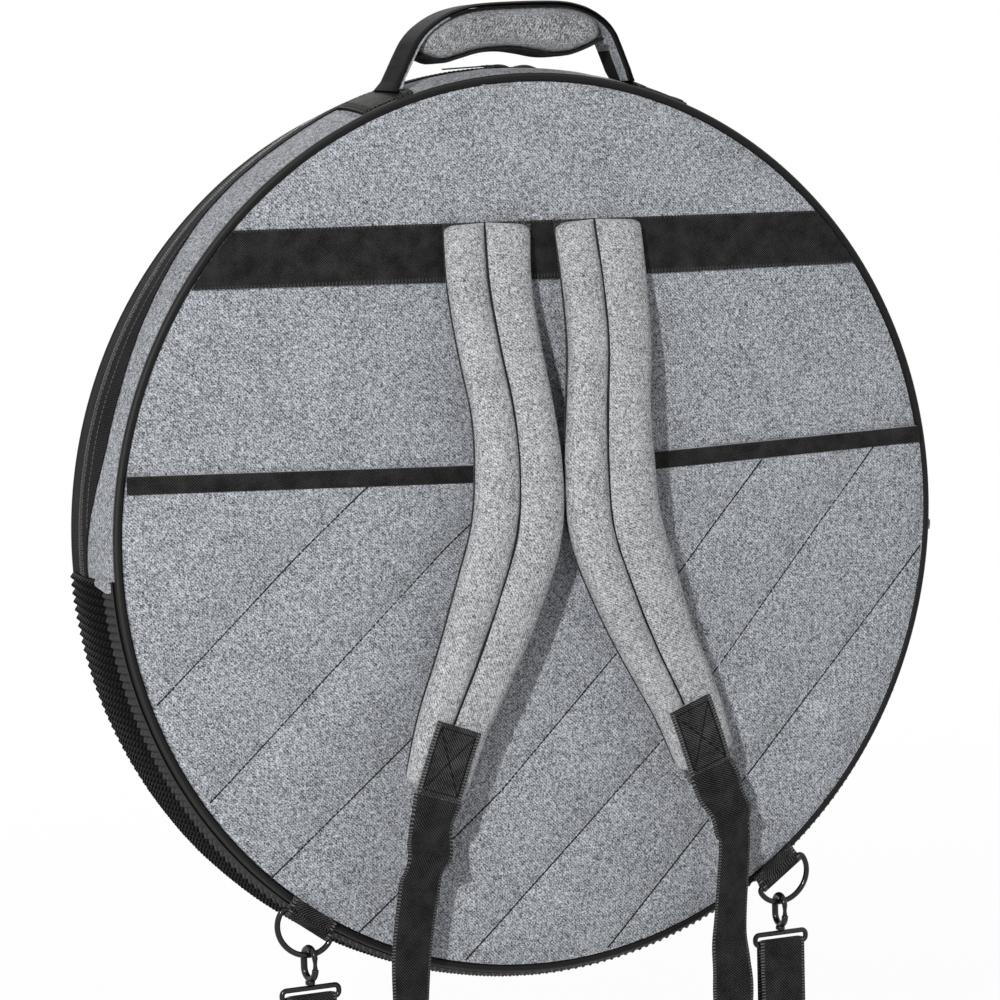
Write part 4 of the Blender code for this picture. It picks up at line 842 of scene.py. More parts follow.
def make_back():
    tool = start_tool()
    add_slab(tool, -PANEL_RADIUS, PANEL_RADIUS, 110, 110, BACK_Y, PANEL_CLOTH, back_height)
    finish_piece("back_cloth", tool, HEATHER, "shell", ("back_panel", "back_foam"))
    tool = start_tool()
    add_slab(tool, -PANEL_RADIUS, PANEL_RADIUS, 60, 40, BACK_Y + LINING_FROM + LINING_THICK, LINING_THICK,
             lambda x, z: SAG * 0.5 * soft_noise((x, 0.0, z), SAG_SPAN * 0.5, 8.8), 1.0)
    finish_piece("back_lining_cloth", tool, LINING, "shell", ("back_lining",))

    face = BACK_Y - GAP - POCKET_THICK
    tool = start_tool()
    add_slab(tool, -PANEL_RADIUS, POCKET_TOP, 190, 170, face, POCKET_THICK, pocket_height, fine=True)
    top = max((side for side in tool.faces if len(side.verts) > 4),
              key=lambda side: side.calc_center_median().z)
    loop = list(top.verts)
    tool.faces.remove(top)
    first = min(range(len(loop)), key=lambda i: loop[i].co.x + loop[i].co.y)
    loop = loop[first:] + loop[:first]
    if abs(loop[1].co.x - loop[0].co.x) < 0.1 * TAPE_WIDTH / len(loop):
        loop = loop[1:] + loop[:1]
    for i in range(len(loop) // 2 - 1):
        tool.faces.new((loop[i], loop[i + 1], loop[-2 - i], loop[-1 - i]))
    for vertex in tool.verts:
        vertex.co.z -= mouth_sag(vertex.co.x, vertex.co.z)
    finish_piece("pocket_cloth", tool, HEATHER, "shell", ("pocket_panel",))

    tool = start_tool()
    for line in QUILT:
        for (ax, az), (bx, bz) in zip(line, line[1:]):
            start, end = Vector((ax, 0.0, az)), Vector((bx, 0.0, bz))
            way = (end - start).normalized()
            if line[0] == (ax, az):
                while hypot(start.x, start.z) < PANEL_RADIUS - TUCK_SPAN * 0.3:
                    start = start - way * STITCH
            if line[-1] == (bx, bz) and bz > -0.25 * SEAM_RADIUS:
                while (hypot(end.x, end.z) < PANEL_RADIUS - TUCK_SPAN * 0.3
                       and end.z < POCKET_TOP - TAPE_WIDTH):
                    end = end + way * STITCH
            count = int((end - start).length / STITCH)
            path = []
            for i in range(count + 1):
                spot = start.lerp(end, i / count)
                path.append(Vector((spot.x, face - pocket_height(spot.x, spot.z) - THREAD * 0.2,
                                    spot.z - mouth_sag(spot.x, spot.z))))
            add_stitches(tool, path, THREAD * 2.1, STITCH, 0.3 * STITCH_GAP)
    finish_piece("quilting", tool, DARK_SEWING, "shell", ())

    band_face = BACK_Y - GAP - BAND_THICK
    tool = start_tool()
    low, high = BAND_TOP - BAND_WIDTH, BAND_TOP
    rings = []
    for z in spaced(low, high, 8):
        half = sqrt(PANEL_RADIUS ** 2 - z ** 2)
        xs = [half * share for share in spaced(-1.0, 1.0, 120)]
        outer = []
        for x in xs:
            tuck = TUCK * 0.45 * (1.0 - rise(half - abs(x), TUCK_SPAN * 0.5))
            wave = SAG * 0.3 * soft_noise((x, 0.0, z * 0.4), SAG_SPAN * 0.4, 5.5)
            outer.append(Vector((x, band_face + tuck - wave, z - droop(x, half, BAND_SAG))))
        rings.append(outer + [Vector((x, BACK_Y - GAP, z)) for x in (xs[-1], xs[0])])
    add_loft(tool, rings)
    layer = tool.loops.layers.uv.active
    for face_of in tool.faces:
        for loop in face_of.loops:
            loop[layer].uv = (loop.vert.co.x, loop.vert.co.z - 0.5 * (low + high))
    finish_piece("back_band", tool, WEB_BAND, "shell", ("back_webbing_band",))

    tape_face = face - GAP
    middle = POCKET_TOP - 0.5 * TAPE_WIDTH
    tool = start_tool()
    half = MOUTH_HALF + TAPE_BEYOND
    rings = []
    for x in spaced(-half, half, 140):
        edge_drop = TUCK * 0.1 * (1.0 - rise(half - abs(x), TUCK_SPAN * 0.5))
        wave = SAG * 0.25 * soft_noise((x, 0.0, 0.0), SAG_SPAN * 0.3, 9.1)
        centre = Vector((x, tape_face - 0.5 * TAPE_THICK + edge_drop - wave,
                         middle - droop(x, half, MOUTH_SAG)))
        ring, across = webbing_ring(centre, Vector((0.0, 0.0, 1.0)), Vector((0.0, -1.0, 0.0)), TAPE_WIDTH,
                                    TAPE_THICK, 8, 0.15)
        rings.append(ring)
    add_loft(tool, rings, spaced(-half, half, 140), across)
    finish_piece("pocket_tape", tool, WEB_TAPE, "shell", ("pocket_binding",))


# Piping, side wall, flange, coil and rubber

def piping_ring(y):
    return [rim_point(PIPING_RADIUS, angle, y) for angle in spaced(0.0, TURN, 300)[:-1]]


def flange_edge(angle_deg):
    """Back edge of the black flange: widest low on the sides, and narrow again at the zipper's ends."""
    angle = abs(angle_deg)
    if angle <= FLANGE_START_DEG:
        share = 0.0
    elif angle <= FLANGE_WIDE_DEG:
        share = (angle - FLANGE_START_DEG) / (FLANGE_WIDE_DEG - FLANGE_START_DEG)
    else:
        share = max(0.0, 1.0 - (angle - FLANGE_WIDE_DEG) / (ZIP_HALF_DEG - FLANGE_WIDE_DEG))
    share = share * share * (3.0 - 2.0 * share)
    return FLANGE_FRONT_Y - FLANGE_TOP_WIDTH - (FLANGE_SIDE_WIDTH - FLANGE_TOP_WIDTH) * share


def add_teeth(tool, y_near, y_far, shift):
    """One half of a coil: a row of rounded loops through the cloth."""
    radius = wall_radius(ZIP_Y)
    step = degrees_of(TOOTH_PITCH)
    half = TOOTH_SHARE * TOOTH_PITCH
    angle = UPPER[0] + step * (0.5 + shift)
    while angle < UPPER[-1] - 0.5 * step:
        turn = Matrix.Rotation(radians(angle), 3, "Y")
        sections = []
        for share, size in TOOTH_SIZES:
            y = y_near + (y_far - y_near) * share
            high = COIL_TOP * (0.45 + 0.55 * size)
            sections.append([turn @ Vector((x * half * size, y, radius + z)) for x, z in
                             ((-1.0, -COIL_DEEP * 0.3), (-1.0, high * 0.75), (-0.45, high), (0.45, high),
                              (1.0, high * 0.75), (1.0, -COIL_DEEP * 0.3))])
        add_loft(tool, sections, [0.0] * 6, [0.0] * 7)
        angle += step


def make_rim():
    tool = start_tool()
    add_tube(tool, piping_ring(-PIPING_Y), PIPING_WIRE, 14, closed=True)
    finish_piece("back_cord", tool, CORD, "shell", ("back_piping",))

    tool = start_tool()
    add_wall(tool, UPPER, -WALL_EDGE_Y, FLANGE_FRONT_Y, 12, None, 0.0)
    finish_piece("side_cloth", tool, HEATHER_SIDE, "shell", ("wall_back_strip",))

    tool = start_tool()
    add_wall(tool, UPPER, flange_edge, FLANGE_FRONT_Y, 8, GAP, GAP + FLANGE_THICK)
    finish_piece("flange_cloth", tool, BLACK_CLOTH, "shell", ("zip_flange",))

    tool = start_tool()
    for y in (FLANGE_SEAM_Y, COIL_BACK_Y - 2.0 * STITCH_GAP):
        spots = [angle for angle in UPPER if flange_edge(angle) < y - STITCH_GAP]
        path = [rim_point(outside_at(angle, y) + GAP + FLANGE_THICK + THREAD * 0.3, angle, y)
                for angle in spots]
        add_stitches(tool, path, THREAD * 1.3, FLANGE_SEAM_STITCH)
    finish_piece("flange_seams", tool, PALE_SEWING, "shell", ())

    tool = start_tool()
    add_teeth(tool, COIL_BACK_Y, ZIP_Y - 0.4 * COIL_SPLIT, 0.0)
    finish_piece("coil_back", tool, NYLON, "shell", ("zip_coil_back",))
    tool = start_tool()
    add_teeth(tool, COIL_FRONT_Y, ZIP_Y + 0.4 * COIL_SPLIT, 0.5)
    finish_piece("coil_front", tool, NYLON, "flap", ("zip_coil_front",))

    tool = start_tool()
    add_wall(tool, UPPER, COIL_FRONT_Y + GAP, WALL_EDGE_Y, 8, None, 0.0)
    wall = finish_piece("flap_side_cloth", tool, BLACK_CLOTH, None, ("flap_wall",))
    bend(wall, "shell", "flap", (0.0, 0.0, FLAP_AXIS_Z), (0.0, 0.0, FLAP_AXIS_Z + WALL_BEND))

    tool = start_tool()
    add_wall(tool, LOWER, -WALL_EDGE_Y, WALL_EDGE_Y, 10, None, 0.0)
    finish_piece("bottom_cloth", tool, BLACK_CLOTH, "shell", ("wall_bottom",))
    make_rubber()
    make_tongues()


def make_tongues():
    """The grey strip's rounded ends, which lie over the rubber."""
    tool = start_tool()
    shares = spaced(0.0, 1.0, TONGUE_ROWS)
    for way in (-1.0, 1.0):
        angles = [way * (ZIP_HALF_DEG - TONGUE_UNDER_DEG + degrees_of(TONGUE) * share) for share in shares]
        rings = []
        for share, angle in zip(shares, angles):
            far = -0.45 * WALL_EDGE_Y - 0.42 * WALL_EDGE_Y * max(0.0, share - 0.25) ** 2
            far -= 0.2 * WALL_EDGE_Y * share
            far -= 0.03 * WALL_EDGE_Y * sin(9.0 * share)
            lift = GAP + STUD_BASE + 0.75 * STUD_TALL * min(1.0, 4.0 * share)
            depths = spaced(-WALL_EDGE_Y, far, 8)
            ring = [rim_point(outside_at(angle, y) + lift + FLANGE_THICK, angle, y) for y in depths]
            ring += [rim_point(outside_at(angle, y) + lift - FLANGE_THICK, angle, y) for y in depths[::-1]]
            rings.append(ring)
        depths = spaced(-WALL_EDGE_Y, -0.5 * WALL_EDGE_Y, 8)
        add_loft(tool, rings, rim_length(angles), depths + depths[::-1] + depths[:1])
    finish_piece("side_tongues", tool, HEATHER_SIDE, "shell", ())


def make_rubber():
    """The studded strip: a thin base with rows of pyramids, the rows beside the back piping painted lighter as
    a highlight.
    """
    tool = start_tool()
    add_wall(tool, LOWER, -WALL_EDGE_Y, WALL_EDGE_Y, 12, GAP, GAP + STUD_BASE)
    rows = int(2.0 * WALL_EDGE_Y / STUD)
    pitch_y = 2.0 * WALL_EDGE_Y / rows
    marks = spaced(LOWER[0], LOWER[-1], int(radians(LOWER[-1] - LOWER[0]) * SEAM_RADIUS / STUD))
    for row in range(rows):
        low_y = -WALL_EDGE_Y + row * pitch_y
        for start, end in zip(marks, marks[1:]):
            foot = ((start, low_y), (end, low_y), (end, low_y + pitch_y), (start, low_y + pitch_y))
            middle, y = 0.5 * (start + end), low_y + 0.5 * pitch_y
            tip = [(middle + a * STUD_TIP * (end - start), y + b * STUD_TIP * pitch_y)
                   for a, b in ((-1, -1), (1, -1), (1, 1), (-1, 1))]
            corners, top = ([tool.verts.new(rim_point(outside_at(*spot) + GAP + STUD_BASE + tall, *spot))
                             for spot in spots] for spots, tall in ((foot, 0.0), (tip, STUD_TALL)))
            sides = [tool.faces.new((corners[k - 1], corners[k], top[k], top[k - 1])) for k in (1, 2, 3, 0)]
            for side in sides + [tool.faces.new(top)]:
                # rows beside the back piping take the rubber with painted highlight
                side.material_index = 1 if row < GLINT_ROWS else 0
    finish_piece("rubber_studs", tool, (RUBBER, GLINT_RUBBER), "shell", ("rubber_base",), 20.0)


def make_front():
    """The front: one skin, one lining and a piping cord, standing for the flap and the lower front."""
    low, high = (0.0, 0.0, FLAP_AXIS_Z - FOLD), (0.0, 0.0, FLAP_AXIS_Z + FOLD)
    tool = start_tool()
    add_slab(tool, -PANEL_RADIUS, PANEL_RADIUS, 110, 90, FRONT_Y, PANEL_CLOTH,
             lambda x, z: back_height(-x, z), 1.0)
    skin = finish_piece("front_cloth", tool, HEATHER, None,
                        ("flap_panel", "lower_front_panel", "flap_foam", "lower_front_foam"))
    bend(skin, "shell", "flap", low, high)
    tool = start_tool()
    add_slab(tool, -PANEL_RADIUS, PANEL_RADIUS, 110, 40, FRONT_Y - LINING_FROM - LINING_THICK, LINING_THICK,
             lambda x, z: 0.0, -1.0)
    lining = finish_piece("front_lining_cloth", tool, LINING, None, ("flap_lining", "lower_front_lining"))
    bend(lining, "shell", "flap", low, high)
    tool = start_tool()
    add_tube(tool, piping_ring(PIPING_Y), PIPING_WIRE, 14, closed=True)
    cord = finish_piece("front_cord", tool, CORD, None, ("flap_piping", "lower_front_piping"))
    bend(cord, "shell", "flap", low, high)


# Handle

HANDLE_AXIS_Z = sqrt((wall_radius(HANDLE_Y) + PATCH_THICK + GAP) ** 2 - HANDLE_HALF_WIDTH ** 2)
HANDLE_TURN = Matrix.Rotation(radians(HANDLE_TILT_DEG), 4, "Y")


def handle_arch():
    foot = HANDLE_AXIS_Z + HANDLE_FOOT_GAP
    rise_of = HANDLE_TOP - foot
    radius = wall_radius(HANDLE_Y) + PATCH_THICK + 2.0 * GAP + 0.5 * WEB_THICK
    legs = []
    for side in (-1.0, 1.0):
        leg = [rim_point(radius, side * angle, HANDLE_Y) for angle in HANDLE_RUN_DEG]
        leg += [Vector((side * HANDLE_HALF_WIDTH * x + HANDLE_LEAN * z, HANDLE_Y, foot + rise_of * z))
                for x, z in HANDLE_SHAPE_SHARES]
        legs.append(leg)
    return smooth_points(legs[0] + legs[1][-2::-1], 6)


def offset_path(points, distance):
    return [point + Vector((along.z, 0.0, -along.x)) * distance
            for point, along in zip(points, tangents(points))]


def cut_path(points, height, above):
    result = []
    for start, end in zip(points, points[1:]):
        if (start.z >= height) == above:
            result.append(start)
        if (start.z >= height) != (end.z >= height):
            result.append(start.lerp(end, (height - start.z) / (end.z - start.z)))
            if not above:
                return result
    return result


def path_height(path, x):
    for start, end in zip(path, path[1:]):
        if start.x <= x <= end.x:
            return start.lerp(end, (x - start.x) / (end.x - start.x)).z
    return path[0].z


def handle_side(point):
    """The way across the webbing: level above, and along the side wall's slope at the feet."""
    share = (HANDLE_AXIS_Z + HANDLE_BEND_TOP - point.z) / HANDLE_BEND_HEIGHT
    slope = -2.0 * CROWN * HANDLE_Y / FRONT_Y ** 2
    out = Vector((point.x, 0.0, point.z)).normalized()
    return Vector((0.0, 1.0, 0.0)) + out * (slope * min(1.0, max(0.0, share)))


def handle_tool(path, thickness):
    centres = [HANDLE_TURN @ point for point in path]
    sideways = [HANDLE_TURN @ handle_side(point) for point in path]
    return add_ribbon(start_tool(), centres, sideways, HANDLE_WEB_WIDTH, thickness, 14)


def mirrored(points):
    return [Vector((-point.x, point.y, point.z)) for point in points]


def zigzag(place, start, end, rows, half):
    """Points of a zigzag seam: place(u, v) gives the spot, u along, v across."""
    path = []
    for i, v in enumerate(spaced(start, end, rows)):
        path.append(place(half if i % 2 else -half, v))
    return path


def let_in(path):
    """A leg's path from above the side wall, with its lower end sunk into the patch."""
    ground = wall_radius(HANDLE_Y) + PATCH_THICK + 2.0 * GAP + 0.5 * WEB_THICK + LEG_CLEAR
    kept = [point for point in path if hypot(point.x, point.z) > ground]
    return [kept[0] + (kept[0] - kept[1]).normalized() * LEG_SINK] + kept


def make_handle():
    arch = handle_arch()
    web = cut_path(arch, HANDLE_AXIS_Z + HANDLE_ROOT - LEG_OVERLAP, True)
    finish_piece("handle_strap", handle_tool(web, WEB_THICK), WEB_HANDLE, "handle", ("handle_webbing",))
    inset = 0.5 * WEB_THICK + GAP + 0.5 * HANDLE_LINING
    lining = offset_path(arch, inset)
    height = HANDLE_AXIS_Z + HANDLE_ROOT

    def lining_piece(name, path, body, stands_for):
        tool = handle_tool(path, HANDLE_LINING)
        for face in tool.faces:
            spot = face.calc_center_median()
            edge = abs(spot.y - HANDLE_Y) > 0.5 * HANDLE_WEB_WIDTH - EDGE_COVER
            inner_side = spot.x > 0.0 and spot.z < height + FAR_BINDING_RISE
            if (edge and spot.x > COVER_FROM) or (inner_side and spot.y > HANDLE_Y - EDGE_COVER):
                face.material_index = 1
        return finish_piece(name, tool, (HEATHER_SIDE, BLACK_CLOTH), body, stands_for)

    lining_piece("handle_lining_cloth", cut_path(lining, height, True), "handle", ("handle_lining",))
    for side, way in (("left", 1.0), ("right", -1.0)):
        path = arch if way > 0.0 else mirrored(arch[::-1])
        inner = lining if way > 0.0 else mirrored(lining[::-1])
        path = cut_path(path, height - GAP, False)
        path, inner = let_in(path), let_in(cut_path(inner, height, False))
        low, high = path[1], path[-1]
        if way < 0.0:
            path, inner = mirrored(path)[::-1], mirrored(inner)[::-1]
            low, high = path[-2], path[0]
        for piece in (finish_piece("handle_leg_" + side, handle_tool(path, LEG_SHARE * WEB_THICK), WEB_HANDLE,
                                   None, ("handle_root_" + side,)),
                      lining_piece("handle_leg_lining_" + side, inner, None, ())):
            bend(piece, "shell", "handle", HANDLE_TURN @ low, HANDLE_TURN @ high)
    for side, middle in (("left", -HANDLE_HALF_WIDTH - PATCH_LEFT_BEYOND),
                         ("right", HANDLE_HALF_WIDTH + PATCH_RIGHT_BEYOND)):
        make_patch(side, degrees_of(middle) + HANDLE_TILT_DEG)

    roof = offset_path(arch, inset)
    under = smooth_points([(share, 0.0, 0.0) for share in GRIP_UNDER_SHARES], 4)
    count = len(under) - 1
    rings, edge, grip_points = [], [], []
    for i, share in enumerate(under):
        t = 2.0 * i / count - 1.0
        x = GRIP_HALF_LENGTH * t
        low = SEAM_RADIUS + GRIP_RISE_MIDDLE + (GRIP_RISE_LOW - GRIP_RISE_MIDDLE) * share.x
        high = path_height(roof, x)
        end = 1.0 - abs(t) ** 14 * 0.45
        ring = []
        for k in range(GRIP_SIDES):
            turn = 2.0 * pi * k / GRIP_SIDES
            across = cos(turn)
            up = sin(turn)
            across = (abs(across) ** 0.42) * (1.0 if across > 0 else -1.0)
            up = (abs(up) ** 0.5) * (1.0 if up > 0 else -1.0)
            crease = 1.0 + 0.03 * soft_noise((x, across * GRIP_WIDTH, up), GRIP_CREASE_SPAN, 2.2)
            grip_points.append(Vector((x, up, 0.0)))
            ring.append(HANDLE_TURN @ Vector((x, HANDLE_Y + 0.5 * GRIP_WIDTH * across * end * crease,
                                              0.5 * (low + high) + 0.5 * (high - low) * up)))
        rings.append(ring)
        edge.append(HANDLE_TURN @ Vector((x, HANDLE_Y, low - GAP - 0.5 * GRIP_BINDING)))
    tool = start_tool()
    add_loft(tool, rings, spaced(0.0, 2.0 * GRIP_HALF_LENGTH, count),
             spaced(0.0, 4.0 * GRIP_WIDTH, GRIP_SIDES))
    grip = finish_piece("grip_cloth", tool, GRIP_HEATHER, "handle", ("handle_grip",), 70.0)
    held = [i for i, point in enumerate(grip_points)
            if abs(point.x) > GRIP_HELD_END * GRIP_HALF_LENGTH or abs(point.y) > GRIP_HELD_SIDE]
    inflate(grip, held, GRIP_SWELL)
    tool = start_tool()
    across = Vector((0.0, 1.0, 0.0))
    add_ribbon(tool, edge, [across] * len(edge), 0.94 * GRIP_WIDTH, 1.5 * GRIP_BINDING)
    finish_piece("grip_edge", tool, WEB_TAPE, "handle", ("grip_binding",))


def make_patch(side, centre_deg):
    """A sewn foot of the handle, with a zigzag seam at both ends."""
    half = degrees_of(0.5 * PATCH_LENGTH)
    half_width = 0.5 * PATCH_WIDTH - GAP
    angles = arc(centre_deg - half, centre_deg + half, PATCH_STEP_DEG)
    depths = spaced(HANDLE_Y - half_width, HANDLE_Y + half_width, 14)
    lifts = [PATCH_THICK * (0.75 + 0.25 * sqrt(max(0.0, 1.0 - abs((y - HANDLE_Y) / half_width) ** 8)))
             for y in depths]
    rings = []
    for angle in angles:
        outer = [rim_point(outside_at(angle, y) + GAP + lift, angle, y) for y, lift in zip(depths, lifts)]
        rings.append(outer + [rim_point(outside_at(angle, y) + 0.5 * GAP, angle, y) for y in depths[::-1]])
    across = [y - HANDLE_Y for y in depths + depths[::-1] + depths[:1]]
    tool = add_loft(start_tool(), rings, rim_length(angles), across)
    finish_piece("handle_foot_" + side, tool, WEB_FOOT, "shell", ("handle_patch_" + side,))

    def seat(along, y):
        angle = centre_deg + degrees_of(along)
        return rim_point(outside_at(angle, y) + GAP + PATCH_THICK + THREAD * 0.3, angle, y)

    tool = start_tool()
    for end in (-1.0, 1.0):
        middle = end * (0.5 * PATCH_LENGTH - SEAM_INSET)
        path = zigzag(lambda u, v: seat(middle + u, v), HANDLE_Y - half_width * 0.94,
                      HANDLE_Y + half_width * 0.94, 26, ZIGZAG)
        add_tube(tool, path, THREAD * 1.2, 5)
    finish_piece("handle_foot_seam_" + side, tool, PALE_SEWING, "shell", ())


# Shoulder pads

OUTWARD = Vector((0.0, -1.0, 0.0))
PAD_STEPS = 6


def pad_rows(steps):
    return smooth_points(PAD_SHARES, steps)


def pad_stations(side, steps):
    """Outer centre, direction, sideways, outward, width and thickness along a pad."""
    rows = pad_rows(steps)
    centres = [Vector((side * PAD_SPREAD * row[1], BACK_Y - PAD_STAND_OFF * row[2],
                       BAND_TOP - PAD_DROP * row[0])) for row in rows]
    stations = []
    for row, centre, along in zip(rows, centres, tangents(centres)):
        across = along.cross(OUTWARD).normalized()
        out = across.cross(along).normalized()
        stations.append([centre, along, across, out, PAD_WIDTH * row[3], PAD_THICK * row[4]])
    flat = Vector((stations[0][1].x, 0.0, stations[0][1].z)).normalized()
    across = flat.cross(OUTWARD).normalized()
    stations[0][1:4] = [flat, Vector((across.x, 0.0, 0.0)).normalized(), OUTWARD]
    return stations


def pad_edge(side, share, u):
    """How far a pad's edge stands out of the model's, as the two hang a little unevenly."""
    if side < 0.0:
        return 1.0 + LEFT_FLARE * max(0.0, 1.0 - share / FLARE_SPAN) if u < 0.0 else 1.0
    low = min(1.0, max(0.0, (share - FLARE_FROM) / FLARE_SPAN))
    return 1.0 + RIGHT_FLARE - RIGHT_EASE * low if u < 0.0 else 1.0 - RIGHT_NARROW * low


def inflate(piece, held, cap):
    """Swells a closed piece as its filling does, with some of its points held."""
    skin = piece.modifiers.new("rounder", "SUBSURF")
    skin.levels = 1
    skin.render_levels = 1
    skin.show_viewport = False
    scene = bpy.context.scene
    before = [vertex.co.copy() for vertex in piece.data.vertices]
    group = piece.vertex_groups.new(name="held")
    group.add(held, 1.0, "REPLACE")
    cloth = piece.modifiers.new("cloth", "CLOTH")
    cloth.settings.use_pressure = True
    cloth.settings.uniform_pressure_force = SWELL_PRESSURE
    cloth.settings.vertex_group_mass = "held"
    cloth.settings.effector_weights.gravity = 0.0
    for frame_number in range(1, SWELL_FRAMES + 1):
        scene.frame_set(frame_number)
    swollen = piece.evaluated_get(bpy.context.evaluated_depsgraph_get()).data
    after = [vertex.co.copy() for vertex in swollen.vertices]
    piece.modifiers.remove(cloth)
    piece.vertex_groups.clear()
    scene.frame_set(1)
    for vertex, start, end in zip(piece.data.vertices, before, after):
        step = end - start
        vertex.co = start + step * min(1.0, cap / max(step.length, 0.01 * cap))
    skin.show_viewport = True


def make_pad(suffix, side):
    body = "pad_" + suffix
    stations = pad_stations(side, PAD_STEPS)
    marks = lengths([station[0] for station in stations])
    outline = smooth_points([(u, v, 0.0) for u, v in PAD_TOP_SHARES], 3)
    rings = []
    for mark, (centre, _, across, out, width, thickness) in zip(marks, stations):
        ring = []
        part = mark / marks[-1]
        for point in outline:
            pucker = PUCKER * soft_noise((mark * 2.2, point.x * PUCKER_ACROSS, side), PUCKER_SPAN, 1.0)
            pucker += UNEVEN * soft_noise((mark, point.x * width, side), UNEVEN_SPAN, 5.0)
            fade = min(1.0, 6.0 * (1.0 - abs(point.x)))
            ring.append(centre + across * (0.5 * width * point.x * pad_edge(side, part, point.x))
                        + out * (thickness * (point.y - 1.0) + pucker * fade))
        for share in (PAD_UNDER_SHARE, 0.0, -PAD_UNDER_SHARE):
            ring.append(centre + across * (0.5 * width * share * pad_edge(side, part, share))
                        - out * thickness)
        rings.append(ring)
    centre, along, _, out, _, thickness = stations[-1]
    heart = centre - out * (0.55 * thickness)
    last = rings[-1]
    tip_marks = list(marks)
    for share in (0.25, 0.5, 0.72, 0.9, 1.0):
        narrow = max(0.08, sqrt(1.0 - share ** 2.6))
        sink = along * (PAD_TIP * share)
        rings.append([heart + (point - heart) * narrow + sink for point in last])
        tip_marks.append(marks[-1] + PAD_TIP * share)
    across = [0.0]
    for before, after in zip(rings[20], rings[20][1:] + rings[20][:1]):
        across.append(across[-1] + (after - before).length)
    tool = start_tool()
    add_loft(tool, rings, tip_marks, across)
    pad = finish_piece("pad_cloth_" + suffix, tool, PAD_HEATHER, body, ("shoulder_pad_" + suffix,),
                       75.0)
    count = len(rings[0])
    held = []
    for i in range(len(rings)):
        for j in range(count):
            edge = (j >= len(outline) or abs(outline[j].x) > HELD_EDGE
                    or abs(outline[j].x - PAD_SEAM_SHARE) < HELD_SEAM)
            if edge or i < 2 or i > len(stations) - 8:
                held.append(i * count + j)
    inflate(pad, held, PAD_SWELL)

    tool = start_tool()
    rings = []
    beyond = BACKING_LEFT if side < 0.0 else 1.0
    for mark, (centre, _, across_way, out, width, thickness) in zip(marks, stations):
        half = 0.5 * width * BACKING_WIDTH_SHARE
        ring = []
        for a, b in BACKING_SECTION:
            reach = half * a * (beyond if a < -0.5 else 1.0) * pad_edge(side, mark / marks[-1], a)
            ring.append(centre + across_way * reach + out * (-thickness - GAP - BACKING_THICK * b))
        rings.append(ring)
    add_loft(tool, rings, marks, [PAD_WIDTH * share for share in
                                  (0.0, 0.35, 0.65, 1.0, 1.02, 1.05, 1.4, 1.7, 2.0, 2.03, 2.05)])
    finish_piece("pad_mesh_" + suffix, tool, BACKING_CLOTH, body, ("pad_backing_" + suffix,))

    tool = start_tool()
    tab_index = next(i for i, row in enumerate(pad_rows(PAD_STEPS)) if row[0] >= TAB_START_SHARE)
    seam = [centre + across_way * (0.5 * width * PAD_SEAM_SHARE)
            + out * (thickness * (SEAM_GROOVE_SHARE - 1.0) + SEAM_LIFT)
            for centre, _, across_way, out, width, thickness in stations]
    add_tube(tool, seam[:tab_index], 0.7 * SEAM_PIPING, 8)
    finish_piece("pad_cord_" + suffix, tool, CORD, body, ("pad_seam_" + suffix,))
    make_tab(suffix, side)


def tab_path(side):
    stations = pad_stations(side, 2)
    lift = GAP + 0.5 * TAB_THICK
    path = [centre + out * lift for centre, _, _, out, _, _ in stations[-3:]]
    return path + [path[-1] + stations[-1][1] * TAB_BEYOND_PAD], stations[-1]


def make_tab(suffix, side):
    """The end tab, with a box and cross sewn on it."""
    path, last = tab_path(side)
    fine = smooth_points(path, 6)
    tool = start_tool()
    add_ribbon(tool, fine, [last[2]] * len(fine), TAB_WIDTH, TAB_THICK, 12)
    finish_piece("pad_tab_web_" + suffix, tool, WEB_TAB, "pad_" + suffix, ("pad_tab_" + suffix,))
    marks = lengths(fine)
    ways = tangents(fine)

    def seat(along, across):
        for i in range(len(marks) - 1):
            if along <= marks[i + 1]:
                share = (along - marks[i]) / (marks[i + 1] - marks[i])
                spot = fine[i].lerp(fine[i + 1], share)
                side_way = (last[2] - ways[i] * last[2].dot(ways[i])).normalized()
                out = side_way.cross(ways[i])
                if out.y > 0.0:
                    out.negate()
                return spot + side_way * across + out * (0.5 * TAB_THICK + THREAD * 0.3)
        return fine[-1]

    low, high, half = TAB_SEAM_INSET, marks[-1] - TAB_SEAM_INSET, 0.5 * TAB_WIDTH - TAB_SEAM_INSET
    corners = [(low, -half), (high, -half), (high, half), (low, half)]
    lines = [*zip(corners, corners[1:] + corners[:1]), *zip(corners[:2], corners[2:])]
    tool = start_tool()
    for (a0, b0), (a1, b1) in lines:
        add_stitches(tool, [seat(a0 + (a1 - a0) * t, b0 + (b1 - b0) * t) for t in spaced(0.0, 1.0, 8)],
                     1.5 * THREAD, 0.7 * STITCH, 0.6 * STITCH_GAP)
    finish_piece("pad_tab_seam_" + suffix, tool, SEWING, "pad_" + suffix, ())


# Hanging straps, D-rings, hooks

def ring_frame(side):
    angle = radians(RING_LEFT_DOWN_DEG if side < 0.0 else RING_RIGHT_DOWN_DEG)
    out = Vector((side * sin(angle), 0.0, -cos(angle)))
    along = Vector((cos(angle), 0.0, side * sin(angle)))
    centre = out * RING_BAR_RADIUS
    centre.y = RING_Y
    return centre, along, out


